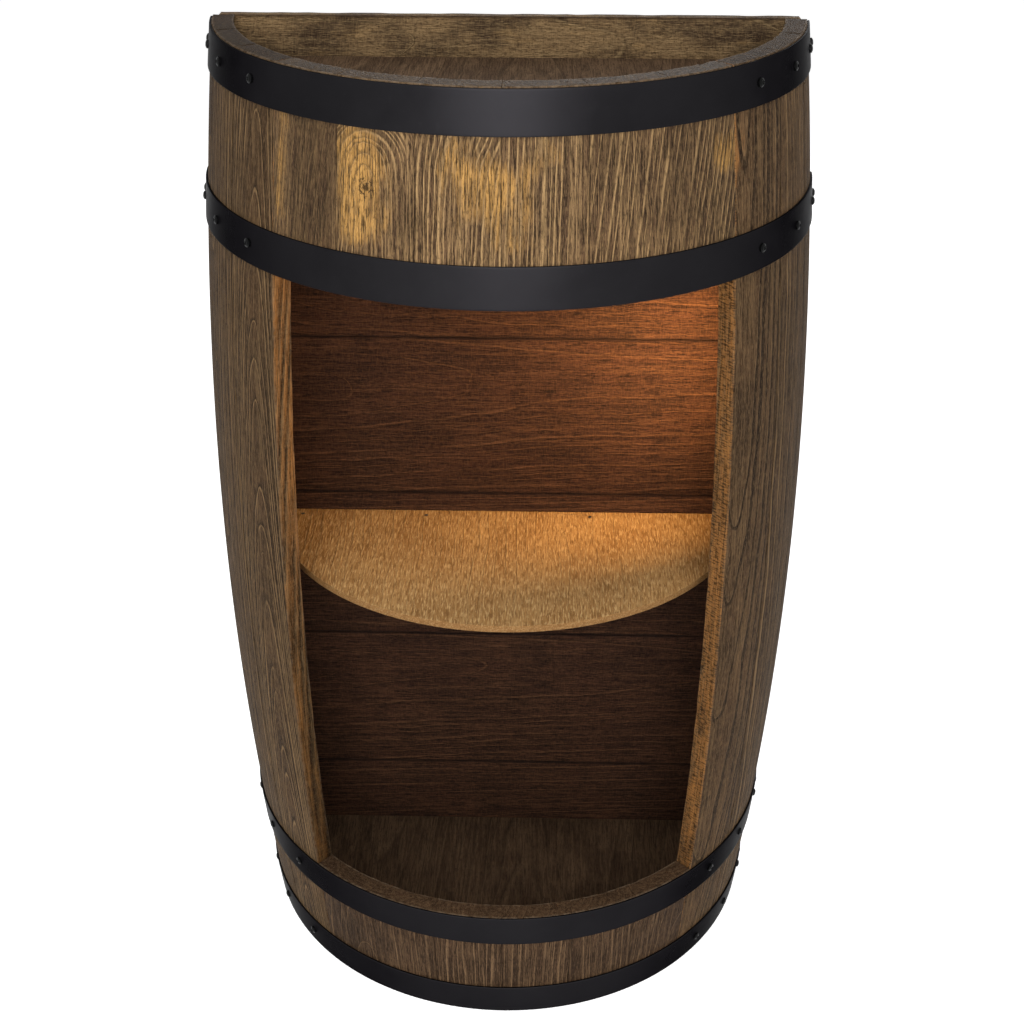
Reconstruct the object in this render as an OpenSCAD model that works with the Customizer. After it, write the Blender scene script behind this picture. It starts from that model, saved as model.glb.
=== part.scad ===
// Half-barrel bar cabinet with a flat back, for a wall or a floor.
// The front faces -Y, the flat back faces +Y and the base stands on z = 0.
// Angles are measured about the barrel's axis, from the back at the left round to the front.

/* [Barrel] */
// Height of the barrel
barrel_h = 800; // [700:10:900]
// Width across the staves at half height
belly_w = 490; // [470:2:520]
// Width across the staves at the top and bottom ends
end_w = 440; // [420:2:450]
// Thickness of the staves
stave_t = 16; // [13:1:20]
// Distance from the barrel's axis forward to the flat back of the cabinet
cut_back = 8; // [2:1:16]

/* [Opening] */
// Angle that the front opening spans about the barrel's axis
opening_angle = 87; // [70:1:100]
// Number of short staves above the opening, and again below it
front_staves = 6; // [4:1:8]
// Number of full-height staves on each side
side_staves = 3; // [2:1:4]
// Height of the rim below the opening
lower_rim_z = 117; // [105:1:150]
// Height of the apron above the opening
apron_h = 145; // [120:1:200]

/* [Hoops] */
// Width of the steel strip of the hoops
hoop_w = 30; // [20:1:34]
// Thickness of the steel strip
hoop_t = 1.5; // [1:0.1:2]
// Distance of the top and bottom hoops from the barrel's ends
hoop_end_in = 1; // [0:0.5:2]
// Diameter of the hoop screws' shanks
hoop_screw_d = 4; // [3:0.5:5]
// Length of the hoop screws' shanks
hoop_screw_l = 12; // [8:1:13]
// Diameter of the hoop screws' heads
hoop_head_d = 6.5; // [5.5:0.5:10]
// Height of the hoop screws' heads
hoop_head_h = 2.4; // [2:0.1:3.5]
// Distance along a hoop from its end to its first screw
end_screw_in = 5.5; // [5:0.5:12]
// Distance between the two screws in each rear stave
pair_gap = 20; // [16:1:32]

/* [Back] */
// Thickness of the back planks
plank_t = 10; // [8:0.5:14]
// Height of a full back plank
plank_h = 143.5; // [130:0.5:150]
// Number of full planks; one more above and one below them fill the rest of the back
full_planks = 4; // [2:2:4]
// Distance that the back planks stop short of the barrel's outside
plank_inset = 5; // [3:0.5:6]
// Distance of the plank screws from the barrel's outside
plank_screw_in = 11; // [9:0.5:11.5]
// Distance of the plank screws from the planks' long edges
plank_screw_z = 24; // [20:1:30]

/* [Heads] */
// Thickness of the lid and the floor
head_t = 16; // [12:1:18]
// Depth of the tray above the lid
tray_depth = 30; // [24:1:40]
// Depth of the recess below the floor
base_recess = 30; // [22:1:36]
// Depth of the grooves in the staves that hold the lid and the floor
croze_depth = 4; // [3:0.5:5]

/* [Shelf] */
// Distance of the shelf's top below half height
shelf_drop = 17; // [4:1:40]
// Thickness of the shelf
shelf_t = 6; // [5:0.5:10]
// Radius of the shelf about the barrel's axis
shelf_r = 200; // [190:1:204]
// Height and depth of the cleat and height of the blocks under the shelf
cleat_s = 18; // [16:1:22]
// Length of the rear cleat
cleat_l = 300; // [240:2:320]
// Distance from the middle of the cabinet to the side blocks
block_x = 168; // [162:1:176]
// Length of the side blocks from the back planks forward
block_l = 52; // [44:1:60]

/* [Hangers] */
// Distance between the two keyholes
hanger_gap = 240; // [200:2:250]
// Distance of the keyholes' round ends below the top of the barrel
hanger_drop = 82; // [76:1:88]
// Diameter of the keyholes' round ends
keyhole_d = 11; // [9:0.5:12]
// Width of the keyholes' slots
keyslot_w = 5.2; // [4:0.2:6]
// Length of the slots from the round end's centre to the slot's end
keyslot_l = 14; // [10:1:16]
// Width of a hanger plate
hanger_w = 28; // [24:1:32]
// Height of a hanger plate
hanger_h = 52; // [50:1:56]
// Thickness of a hanger plate
hanger_t = 2; // [1.5:0.5:2.5]
// Thickness of the wood left in front of the pocket behind a keyhole
pocket_web = 3; // [2:0.5:4]

/* [Light] */
// Length of the light strip
strip_l = 318; // [250:1:320]
// Width of the light strip
strip_w = 10; // [8:1:12]
// Angle of the light strip from the back at the right
strip_angle = 37; // [32:1:41]
// Distance between neighbouring light chips
chip_pitch = 16.6; // [12:0.2:30]
// Side of a light chip
chip_s = 5; // [3:0.5:6]
// Diameter of the lead
lead_d = 2.6; // [2:0.1:3]

/* [Battery box] */
// Diameter of a cell
cell_d = 10.4; // [10:0.1:10.5]
// Length of a cell
cell_l = 44; // [43:0.5:44.5]
// Gap around each cell
cell_gap = 0.4; // [0.3:0.1:1]
// Room for the spring of each sprung contact
spring_l = 5.2; // [4:0.2:7]
// Wall thickness of the box
box_wall = 1.6; // [1.4:0.1:1.8]
// Gap between the box and the lid
box_lid_gap = 6; // [4:0.5:10]
// Gap between the box's outer front edge and the side wall
box_side_gap = 7; // [6.5:0.5:12]
// Inner length of the switch's bay
switch_bay_l = 12.6; // [12:0.2:16]
// Travel of the switch
switch_travel = 4; // [2:0.5:4.5]

/* [Hidden] */
$fn = 48;
arc_fn = 180;
chord_gap = 0.02;
fit_gap = 0.15;
slide_gap = 0.2;
curve_gap = 0.3;
eps = 0.01;

// The barrel's side is an arc, so that every radius follows from its height.
belly_r = belly_w / 2;
end_r = end_w / 2;
mid_z = barrel_h / 2;
bulge_drop = belly_r - end_r;
bulge_r = (pow(mid_z, 2) + pow(bulge_drop, 2)) / (2 * bulge_drop);
bulge_fn = 4 * ceil(PI / 4 * sqrt(bulge_r / (2 * chord_gap)));
function barrel_r(z, depth = 0) =
    belly_r - bulge_r + sqrt(pow(bulge_r - depth, 2) - pow(z - mid_z, 2));
// Tilt of the barrel's surface away from upright
function surface_tilt(z) = asin((z - mid_z) / bulge_r);

// Heights and reaches that several pieces share
apron_z = barrel_h - apron_h;
hoop_zs = [hoop_end_in, lower_rim_z - hoop_w, apron_z, barrel_h - hoop_w - hoop_end_in];
hoop_names = ["bottom", "lower", "upper", "top"];
lid_top = barrel_h - tray_depth;
lid_z = lid_top - head_t;
floor_z = base_recess;
front_reach = max([for (z = hoop_zs, end = [0, hoop_w]) barrel_r(z + end, -hoop_t)]);
axis_y = (front_reach + cut_back) / 2;
back_y = -cut_back;
wall_y = back_y - plank_t;

// Angles of the stave joints
cut_angle = 90 - opening_angle / 2;
front_pitch = opening_angle / front_staves;
rear_angle = asin(-wall_y / belly_r);
side_pitch = (cut_angle - rear_angle) / side_staves;
function side_from(i) = i == 0 ? 0 : rear_angle + i * side_pitch;
function side_to(i) = rear_angle + (i + 1) * side_pitch;

// Angles of the hoop screws: two in the rear stave, one in the middle of each other
function hoop_end(z) = asin(-wall_y / barrel_r(z));
function arc_angle(len, z) = len / barrel_r(z) * 180 / PI;
function screw_angles(z) = concat(
    [for (len = [end_screw_in, end_screw_in + pair_gap]) hoop_end(z) + arc_angle(len, z)],
    [for (i = [1 : side_staves - 1]) (side_from(i) + side_to(i)) / 2]);
hoop_mid_zs = [for (z = hoop_zs) z + hoop_w / 2];
socket_d = hoop_head_d * 0.45;
socket_depth = hoop_head_h * 0.5;
dome_h = hoop_head_h * 0.5;
screw_tip = 3;

// Joints of the back planks, in step with the middle of the barrel
plank_count = full_planks + 2;
plank_zs = concat([0], [for (i = [0 : full_planks]) mid_z + (i - full_planks / 2) * plank_h], [barrel_h]);
plank_screw_d = 3.5;
plank_screw_l = 36;
csk_d = 7;
csk_h = 2.2;
edge_relief = 0.8;

// Grooves for the lid and the floor
lid_r = barrel_r(lid_z + head_t / 2, stave_t) + croze_depth;
floor_r = barrel_r(floor_z + head_t / 2, stave_t) + croze_depth;
brad_d = 2;
brad_l = 34;
brad_head_d = 3.2;
brad_head_h = 1;
brad_xs = [-120, 0, 120];

// Shelf supports
shelf_z = mid_z - shelf_drop;
shelf_under = shelf_z - shelf_t;
cleat_z = shelf_under - cleat_s;
cleat_screw_l = plank_t + cleat_s - 4;
cleat_screw_xs = [-110, 0, 110];
block_screw_d = 4;
block_screw_l = 32;
block_screw_bite = 10;
block_head_d = 7.5;
block_head_h = 2.5;
block_ys = [wall_y - block_l * 0.32, wall_y - block_l * 0.72];
shelf_brad_d = 1.2;
shelf_brad_l = 16;
shelf_brad_xs = [-70, 70];
shelf_brad_side = block_x + 8;

// Hanger plates and the pockets behind their keyholes
hanger_z = barrel_h - hanger_drop;
hanger_base = hanger_z - hanger_h / 2 + keyslot_l / 4;
hanger_corner = 5;
pocket_depth = plank_t - hanger_t - pocket_web;
pocket_w = keyhole_d + 3;
hanger_hole_d = 3.6;
hanger_screw_l = 8;
hanger_hole_in = 6;
hanger_head_d = 5.6;
hanger_head_h = 1.2;

// Battery box, measured from its corner at the left, the back and the bottom
cell_count = 3;
pad_t = 1;
contact_t = 0.5;
cover_gap = 1.8;
cover_plate_t = 1;
cover_lip = 1;
groove_d = 0.8;
groove_h = cover_plate_t + 2 * slide_gap;
groove_y = box_wall + 2 * cell_gap + cell_d + cover_gap;
bay_l = box_wall + 2 * contact_t + cell_l + spring_l + 2 * slide_gap;
box_l = bay_l + box_wall + switch_bay_l + box_wall;
box_d = groove_y + groove_h + cover_lip;
box_h = cell_count * cell_d + (cell_count + 1) * cell_gap + 2 * box_wall;
box_y = wall_y - pad_t;
box_z = lid_z - box_lid_gap - box_h;
box_x = sqrt(pow(barrel_r(box_z + box_h, stave_t), 2) - pow(box_d - box_y, 2)) - box_side_gap - box_l;
knob_w = 4;
knob_h = 3;
knob_out = 1.6;
slot_x = bay_l + box_wall + (switch_bay_l - knob_w - switch_travel) / 2;
slot_z = (box_h - knob_h) / 2;
flange = 1.6;
flange_t = 1.2;

// Lead, from near the top of the box along the wall to the top of the light strip.
// Each ring of its tube is a place, two directions across the tube and a radius.
lead_r = lead_d / 2;
lead_sides = 10;
lead_bend = 5;
relief_r = lead_r + 0.4;
relief_l = 1;
lead_hole_r = relief_r + fit_gap;
lead_z = box_z + box_h - box_wall - lead_hole_r - 0.5;
lead_y = box_y - box_d / 2;
lead_path_r = barrel_r(lead_z, stave_t) - lead_r - curve_gap;
lead_in = box_wall + 1.2;
lead_tail = 2;
wall_a = asin((lead_bend - lead_y) / (lead_path_r - lead_bend));
turn_x = (lead_path_r - lead_bend) * cos(wall_a);
turn_a = strip_angle - atan(lead_bend / lead_path_r);
turn_dir = [-sin(turn_a), -cos(turn_a), 0];
turn_out = [cos(turn_a), -sin(turn_a), 0];
turn_at = lead_path_r * turn_out + [0, 0, lead_z - lead_bend];
up = [0, 0, 1];
lead_rings = concat(
    [for (end = [[-lead_in, relief_r], [relief_l, relief_r], [relief_l + 0.1, lead_r]])
        [[box_x + box_l + end[0], lead_y, lead_z], [0, 1, 0], up, end[1]]],
    [for (i = [1 : 6]) let (a = 90 - i * (90 + wall_a) / 6)
        [[turn_x + lead_bend * cos(a), lead_y + lead_bend * (sin(a) - 1), lead_z],
         [cos(a), sin(a), 0], up, lead_r]],
    [for (i = [1 : 16]) let (a = wall_a + i * (turn_a - wall_a) / 16)
        [[lead_path_r * cos(a), -lead_path_r * sin(a), lead_z], [cos(a), -sin(a), 0], up, lead_r]],
    [for (i = [1 : 4]) let (a = i * 90 / 4, across = cos(a) * up + sin(a) * turn_dir)
        [turn_at + lead_bend * across, turn_out, across, lead_r]],
    [[turn_at + lead_bend * turn_dir - lead_tail * up, turn_out, turn_dir, lead_r]]);

// Light strip and its chips, hanging from the end of the lead
strip_z = lead_z - lead_bend - lead_tail - fit_gap - strip_l;
strip_t = 1.2;
strip_depth = stave_t + curve_gap + strip_t;
chip_t = 1.6;
chip_lift = 0.03;
chip_count = floor((strip_l - chip_s) / chip_pitch) + 1;

// Colours
stave_brown = [0.34, 0.24, 0.15];
apron_brown = [0.42, 0.29, 0.16];
back_brown = [0.24, 0.15, 0.1];
head_brown = [0.33, 0.22, 0.13];
shelf_brown = [0.55, 0.38, 0.2];
batten_brown = [0.5, 0.38, 0.25];
hoop_black = [0.09, 0.09, 0.1];
screw_black = [0.05, 0.05, 0.05];
zinc = [0.7, 0.7, 0.68];
box_black = [0.13, 0.12, 0.12];

sides = ["left", "right"];

// Moves a shape from the barrel's axis to the cabinet's frame
module placed() {
    translate([0, axis_y, 0]) children();
}

// Turns a shape on +X to an angle measured from the back at the left
module at_angle(a) {
    rotate([0, 0, 180 + a]) children();
}

// Mirrors a left-hand piece to the right when side is 1
module on_side(side) {
    mirror([side, 0, 0]) children();
}

// Outline of the barrel, radius by height, cut back from its surface by depth
module bulge_2d(depth, from_z, to_z) {
    intersection() {
        translate([belly_r - bulge_r, mid_z]) circle(bulge_r - depth, $fn = bulge_fn);
        translate([0, from_z]) square([belly_r + 2 * hoop_t + 1, to_z - from_z]);
    }
}

// Shell of the barrel between two depths, two heights and two angles
module shell(outer, inner, from_z, to_z, from_a, to_a) {
    at_angle(from_a) rotate_extrude(angle = to_a - from_a, $fn = arc_fn) difference() {
        bulge_2d(outer, from_z, to_z);
        bulge_2d(inner, from_z - 1, to_z + 1);
    }
}

// Everything in front of the inner face of the back planks
module before_wall() {
    translate([-belly_w, wall_y - belly_w, -barrel_h]) cube([2 * belly_w, belly_w, 3 * barrel_h]);
}

// Half disc between the back planks and a radius
module half_disc(r, z, t) {
    intersection() {
        translate([0, 0, z]) cylinder(r = r, h = t, $fn = arc_fn);
        before_wall();
    }
}

// Places a shape that points along +Z on the barrel's surface, pointing outwards
module on_surface(a, z, depth = 0) {
    at_angle(a) translate([belly_r - bulge_r, 0, mid_z]) rotate([0, 90 - surface_tilt(z), 0])
        translate([0, 0, bulge_r - depth]) children();
}

// Wood screw along -Z with its head's top at the origin
module countersunk(d, len, head_d, head_h) {
    translate([0, 0, -head_h]) cylinder(d1 = d, d2 = head_d, h = head_h);
    translate([0, 0, -len + screw_tip]) cylinder(d = d, h = len - screw_tip - head_h + eps);
    translate([0, 0, -len]) cylinder(d1 = d * 0.2, d2 = d, h = screw_tip);
}

// Hexagonal socket in the head of a countersunk screw
module socketed(head_d, head_h) {
    difference() {
        children();
        translate([0, 0, -head_h * 0.6]) cylinder(d = head_d * 0.45, h = head_h, $fn = 6);
    }
}

// Axes of the hoop screws on one hoop
module hoop_screw_places(i) {
    z = hoop_mid_zs[i];
    for (a = screw_angles(z), side = [0, 1]) on_side(side) on_surface(a, z) children();
}

// Axes of the plank screws, from the cabinet's back
module plank_screw_places() {
    for (i = [0 : plank_count - 1], s = [-1, 1],
         z = [plank_zs[i] + plank_screw_z, plank_zs[i + 1] - plank_screw_z])
        translate([s * (barrel_r(z) - plank_screw_in), back_y, z]) rotate([-90, 0, 0]) children();
}

module plank_screw() {
    countersunk(plank_screw_d, plank_screw_l, csk_d, csk_h);
}

// Axes of the screws through the side blocks into the staves, from the blocks' inner side
module block_screw_places() {
    for (y = block_ys, s = [-1, 1]) {
        wall_x = sqrt(pow(barrel_r(cleat_z + cleat_s / 2, stave_t), 2) - pow(y, 2));
        translate([s * (wall_x + block_screw_bite - block_screw_l), y, cleat_z + cleat_s / 2])
            rotate([0, -s * 90, 0]) children();
    }
}

module block_screw() {
    cylinder(d = block_head_d, h = block_head_h);
    translate([0, 0, screw_tip - block_screw_l]) cylinder(d = block_screw_d, h = block_screw_l - screw_tip);
    translate([0, 0, -block_screw_l]) cylinder(d1 = block_screw_d * 0.2, d2 = block_screw_d, h = screw_tip);
}

// Axes of the brads through the back planks into the lid and the floor
module brad_places() {
    for (x = brad_xs, z = [lid_z + head_t / 2, floor_z + head_t / 2])
        translate([x, back_y, z]) rotate([-90, 0, 0]) children();
}

module brad() {
    translate([0, 0, -brad_head_h]) cylinder(d = brad_head_d, h = brad_head_h);
    translate([0, 0, -brad_l]) cylinder(d = brad_d, h = brad_l - brad_head_h + eps);
}

module cleat_screw_places() {
    for (x = cleat_screw_xs) translate([x, back_y, cleat_z + cleat_s / 2]) rotate([-90, 0, 0]) children();
}

module cleat_screw() {
    countersunk(plank_screw_d, cleat_screw_l, csk_d, csk_h);
}

// Axes of the brads through the shelf into the cleat and the side blocks
module shelf_brad_places() {
    for (x = concat(shelf_brad_xs, [-shelf_brad_side, shelf_brad_side]))
        translate([x, wall_y - cleat_s / 2, shelf_z]) children();
}

module shelf_brad() {
    translate([0, 0, -brad_head_h]) cylinder(d = brad_head_d, h = brad_head_h);
    translate([0, 0, -shelf_brad_l]) cylinder(d = shelf_brad_d, h = shelf_brad_l - brad_head_h + eps);
}

// Grooves that the lid and the floor sit in
module crozes() {
    for (groove = [[lid_z, lid_r], [floor_z, floor_r]]) translate([0, 0, groove[0] - fit_gap])
        cylinder(r = groove[1] + fit_gap, h = head_t + 2 * fit_gap, $fn = arc_fn);
}

// Full-height stave; i counts from the back, side is 0 on the left and 1 on the right
module side_stave(side, i) {
    color(stave_brown) placed() difference() {
        on_side(side) intersection() {
            shell(0, stave_t, 0, barrel_h, side_from(i), side_to(i));
            before_wall();
        }
        crozes();
        for (h = [0 : len(hoop_zs) - 1]) hoop_screw_places(h) hoop_screw();
        if (i == 0) plank_screw_places() plank_screw();
        block_screw_places() block_screw();
    }
}

// Short stave in front, between two heights; i counts from the left
module front_stave(i, from_z, to_z) {
    placed() difference() {
        shell(0, stave_t, from_z, to_z, cut_angle + i * front_pitch, cut_angle + (i + 1) * front_pitch);
        crozes();
    }
}

// Short stave of the apron above the opening
module upper_stave(i) {
    color(apron_brown) front_stave(i, apron_z, barrel_h);
}

// Short stave of the rim below the opening
module lower_stave(i) {
    color(stave_brown) front_stave(i, 0, lower_rim_z);
}

// Outline of the whole back, width by height
module back_2d() {
    for (side = [0, 1]) mirror([side, 0]) bulge_2d(plank_inset, 0, barrel_h);
}

// Horizontal plank of the back; i counts from the bottom
module back_plank(i) {
    from_z = plank_zs[i];
    to_z = plank_zs[i + 1];
    color(back_brown) placed() difference() {
        translate([0, back_y, 0]) rotate([90, 0, 0]) linear_extrude(plank_t) intersection() {
            back_2d();
            translate([-belly_w, from_z]) square([2 * belly_w, to_z - from_z]);
        }
        plank_screw_places() plank_screw();
        brad_places() brad();
        cleat_screw_places() cleat_screw();
        for (s = [-1, 1]) translate([s * hanger_gap / 2, back_y, 0]) hanger_recess();
        for (s = [-1, 1]) translate([s * hanger_gap / 2, back_y, 0]) hanger_screw_places() hanger_screw();
    }
}

module lid() {
    color(head_brown) placed() difference() {
        half_disc(lid_r, lid_z, head_t);
        brad_places() brad();
    }
}

module floor_panel() {
    color(head_brown) placed() difference() {
        half_disc(floor_r, floor_z, head_t);
        brad_places() brad();
    }
}

module shelf() {
    color(shelf_brown) placed() difference() {
        half_disc(shelf_r, shelf_under, shelf_t);
        shelf_brad_places() shelf_brad();
    }
}

// Cleat along the back planks under the shelf
module shelf_cleat() {
    color(batten_brown) placed() difference() {
        translate([-cleat_l / 2, wall_y - cleat_s, cleat_z]) cube([cleat_l, cleat_s, cleat_s]);
        cleat_screw_places() cleat_screw();
        shelf_brad_places() shelf_brad();
    }
}

// Block between the side wall and the shelf's rear corner
module shelf_block(side) {
    color(batten_brown) placed() difference() {
        on_side(side) intersection() {
            translate([-belly_w, wall_y - block_l, cleat_z]) cube([belly_w - block_x, block_l, cleat_s]);
            at_angle(-1) rotate_extrude(angle = cut_angle, $fn = arc_fn)
                bulge_2d(stave_t + curve_gap, cleat_z - 1, cleat_z + cleat_s + 1);
        }
        block_screw_places() block_screw();
        block_screw_places() cylinder(d = block_head_d + 2 * slide_gap, h = belly_r);
        shelf_brad_places() shelf_brad();
    }
}

// Steel hoop, bent to the barrel's surface and ending at the back planks
module hoop(i) {
    z = hoop_zs[i];
    color(hoop_black) placed() difference() {
        intersection() {
            shell(-hoop_t, 0, z, z + hoop_w, 0, 180);
            before_wall();
        }
        hoop_screw_places(i) cylinder(d = hoop_screw_d, h = 4 * hoop_t, center = true);
    }
}

// Screw with a domed head and a hexagonal socket; its shank starts on the barrel's surface
module hoop_screw() {
    dome_r = (pow(hoop_head_d / 2, 2) + pow(dome_h, 2)) / (2 * dome_h);
    difference() {
        translate([0, 0, hoop_t]) intersection() {
            cylinder(d = hoop_head_d, h = hoop_head_h);
            translate([0, 0, hoop_head_h - dome_r]) sphere(dome_r);
        }
        translate([0, 0, hoop_t + hoop_head_h - socket_depth])
            cylinder(d = socket_d, h = hoop_head_h, $fn = 6);
    }
    translate([0, 0, screw_tip - hoop_screw_l])
        cylinder(d = hoop_screw_d, h = hoop_screw_l - screw_tip + hoop_t + eps);
    translate([0, 0, -hoop_screw_l]) cylinder(d1 = hoop_screw_d * 0.2, d2 = hoop_screw_d, h = screw_tip);
}

module hoop_screws(i) {
    color(screw_black) placed() hoop_screw_places(i) hoop_screw();
}

module plank_screws() {
    color(screw_black) placed() plank_screw_places() socketed(csk_d, csk_h) plank_screw();
}

module head_brads() {
    color(zinc) placed() brad_places() brad();
}

module cleat_screws() {
    color(screw_black) placed() cleat_screw_places() socketed(csk_d, csk_h) cleat_screw();
}

module block_screws() {
    color(zinc) placed() block_screw_places() block_screw();
}

module shelf_brads() {
    color(zinc) placed() shelf_brad_places() shelf_brad();
}

// Plate outline with rounded corners, grown by extra, width by height
module hanger_2d(extra) {
    r = hanger_corner + extra;
    w = hanger_w + 2 * extra;
    h = hanger_h + 2 * extra;
    translate([-w / 2, hanger_base - extra]) {
        for (x = [r, w - r], z = [r, h - r]) translate([x, z]) circle(r);
        translate([r, 0]) square([w - 2 * r, h]);
        translate([0, r]) square([w, h - 2 * r]);
    }
}

// Keyhole outline grown by extra, its round end at hanger_z
module keyhole_2d(extra) {
    translate([0, hanger_z]) circle(d = keyhole_d + 2 * extra);
    translate([0, hanger_z + keyslot_l]) circle(d = keyslot_w + 2 * extra);
    translate([-keyslot_w / 2 - extra, hanger_z]) square([keyslot_w + 2 * extra, keyslot_l]);
}

// Recess for a hanger plate and the deeper pocket behind its keyhole
module hanger_recess() {
    rotate([90, 0, 0]) {
        translate([0, 0, -1]) linear_extrude(hanger_t + 1) hanger_2d(fit_gap);
        linear_extrude(hanger_t + pocket_depth) {
            for (z = [0, keyslot_l]) translate([0, hanger_z + z]) circle(d = pocket_w);
            translate([-pocket_w / 2, hanger_z]) square([pocket_w, keyslot_l]);
        }
    }
}

module hanger_screw_places() {
    for (z = [hanger_base + hanger_hole_in, hanger_base + hanger_h - hanger_hole_in])
        translate([0, 0, z]) rotate([-90, 0, 0]) children();
}

module hanger_screw() {
    countersunk(hanger_hole_d - 2 * fit_gap, hanger_screw_l, hanger_head_d, hanger_head_h);
}

// Keyhole plate let into the back, flush with it
module hanger(s) {
    color(zinc) placed() translate([s * hanger_gap / 2, back_y, 0]) difference() {
        rotate([90, 0, 0]) linear_extrude(hanger_t) difference() {
            hanger_2d(0);
            keyhole_2d(0);
        }
        hanger_screw_places() hanger_screw();
    }
}

module hanger_screws() {
    color(screw_black) placed() for (s = [-1, 1]) translate([s * hanger_gap / 2, back_y, 0])
        hanger_screw_places() socketed(hanger_head_d, hanger_head_h) hanger_screw();
}

// Light strip on the inner side of the right-hand staves
module light_strip() {
    half = arc_angle(strip_w / 2, mid_z);
    color([0.93, 0.9, 0.8]) placed() shell(strip_depth - strip_t, strip_depth, strip_z, strip_z + strip_l,
        180 - strip_angle - half, 180 - strip_angle + half);
}

module light_chips() {
    color([1, 0.85, 0.5]) placed() for (i = [0 : chip_count - 1]) {
        z = strip_z + chip_s / 2 + i * chip_pitch;
        on_surface(180 - strip_angle, z, strip_depth + chip_t + chip_lift)
            translate([-chip_s / 2, -chip_s / 2, 0]) cube([chip_s, chip_s, chip_t]);
    }
}

// Lead from the battery box along the wall under the lid and down to the top of the strip
module light_lead() {
    n = lead_sides;
    last = len(lead_rings) - 1;
    points = [for (ring = lead_rings, k = [0 : n - 1])
        ring[0] + ring[3] * (cos(k * 360 / n) * ring[1] + sin(k * 360 / n) * ring[2])];
    walls = [for (i = [0 : last - 1], k = [0 : n - 1], half = [0, 1])
        let (a = i * n + k, b = i * n + (k + 1) % n) half == 0 ? [a, b, b + n] : [a, b + n, a + n]];
    ends = [for (k = [1 : n - 2], i = [0, last])
        i == 0 ? [0, k + 1, k] : [i * n, i * n + k, i * n + k + 1]];
    color([0.85, 0.83, 0.78]) placed() polyhedron(points, concat(walls, ends));
}

// Moves a shape to the battery box: x to the right, y out of the back planks, z up
module at_box() {
    placed() translate([box_x, box_y, box_z]) mirror([0, 1, 0]) children();
}

module battery_pad() {
    pad_in = 4;
    color([0.95, 0.95, 0.95]) placed() translate([box_x + pad_in, wall_y - pad_t, box_z + pad_in])
        cube([box_l - 2 * pad_in, pad_t, box_h - 2 * pad_in]);
}

// Box with a bay for the cells, a bay for the switch and a groove for the cover
module battery_box() {
    color(box_black) at_box() difference() {
        cube([box_l, box_d, box_h]);
        translate([box_wall, box_wall, box_wall]) cube([bay_l - box_wall, box_d, box_h - 2 * box_wall]);
        translate([bay_l + box_wall, box_wall, box_wall])
            cube([switch_bay_l, box_d - 2 * box_wall, box_h - 2 * box_wall]);
        translate([-1, groove_y, box_wall - groove_d])
            cube([bay_l + 1, groove_h, box_h - 2 * box_wall + 2 * groove_d]);
        translate([-1, groove_y, box_wall]) cube([bay_l + 1, box_d, box_h - 2 * box_wall]);
        translate([slot_x - slide_gap, box_wall, slot_z - slide_gap])
            cube([knob_w + switch_travel + 2 * slide_gap, box_d, knob_h + 2 * slide_gap]);
        translate([box_l - box_wall - 1, box_d / 2, lead_z - box_z]) rotate([0, 90, 0])
            cylinder(r = lead_hole_r, h = box_wall + 2);
    }
}

module battery_cells() {
    button_d = 3.6;
    button_h = 1;
    from_wall = box_wall + cell_gap + cell_d / 2;
    color([0.2, 0.35, 0.3]) at_box() for (i = [0 : cell_count - 1])
        translate([box_wall + contact_t + slide_gap, from_wall, from_wall + i * (cell_d + cell_gap)])
            rotate([0, 90, 0]) {
                translate([0, 0, button_h]) cylinder(d = cell_d, h = cell_l - button_h);
                cylinder(d = button_d, h = button_h + eps);
            }
}

// Flat contacts at the left and sprung contacts at the right of each cell
module battery_contacts() {
    plate = cell_d * 0.7;
    from_wall = box_wall + cell_gap + cell_d / 2;
    color(zinc) at_box() for (i = [0 : cell_count - 1])
        translate([0, from_wall, from_wall + i * (cell_d + cell_gap)]) {
            translate([box_wall, -plate / 2, -plate / 2]) cube([contact_t, plate, plate]);
            translate([bay_l - contact_t, -plate / 2, -plate / 2]) cube([contact_t, plate, plate]);
            translate([bay_l - contact_t - spring_l, 0, 0]) rotate([0, 90, 0])
                cylinder(d1 = cell_d * 0.3, d2 = cell_d * 0.6, h = spring_l);
        }
}

// Cover that slides to the left out of the box's groove
module battery_cover() {
    rib_l = 12;
    rib_t = 0.6;
    color(box_black) at_box() {
        translate([0, groove_y + slide_gap, box_wall - groove_d + slide_gap])
            cube([bay_l - slide_gap, cover_plate_t, box_h - 2 * box_wall + 2 * groove_d - 2 * slide_gap]);
        translate([0, groove_y + slide_gap, box_wall + slide_gap])
            cube([bay_l - slide_gap, box_d - groove_y - slide_gap, box_h - 2 * box_wall - 2 * slide_gap]);
        for (i = [0 : 3]) translate([5 + i * 2.4, box_d - eps, (box_h - rib_l) / 2])
            cube([1, rib_t + eps, rib_l]);
    }
}

// Switch slider at its on end, the right-hand end of its slot
module switch_knob() {
    knob_x = slot_x + switch_travel;
    color(screw_black) at_box() {
        translate([knob_x, box_d - box_wall - slide_gap - eps, slot_z])
            cube([knob_w, box_wall + slide_gap + knob_out + eps, knob_h]);
        translate([knob_x - flange, box_d - box_wall - slide_gap - flange_t, slot_z - flange])
            cube([knob_w + 2 * flange, flange_t, knob_h + 2 * flange]);
    }
}

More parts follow.
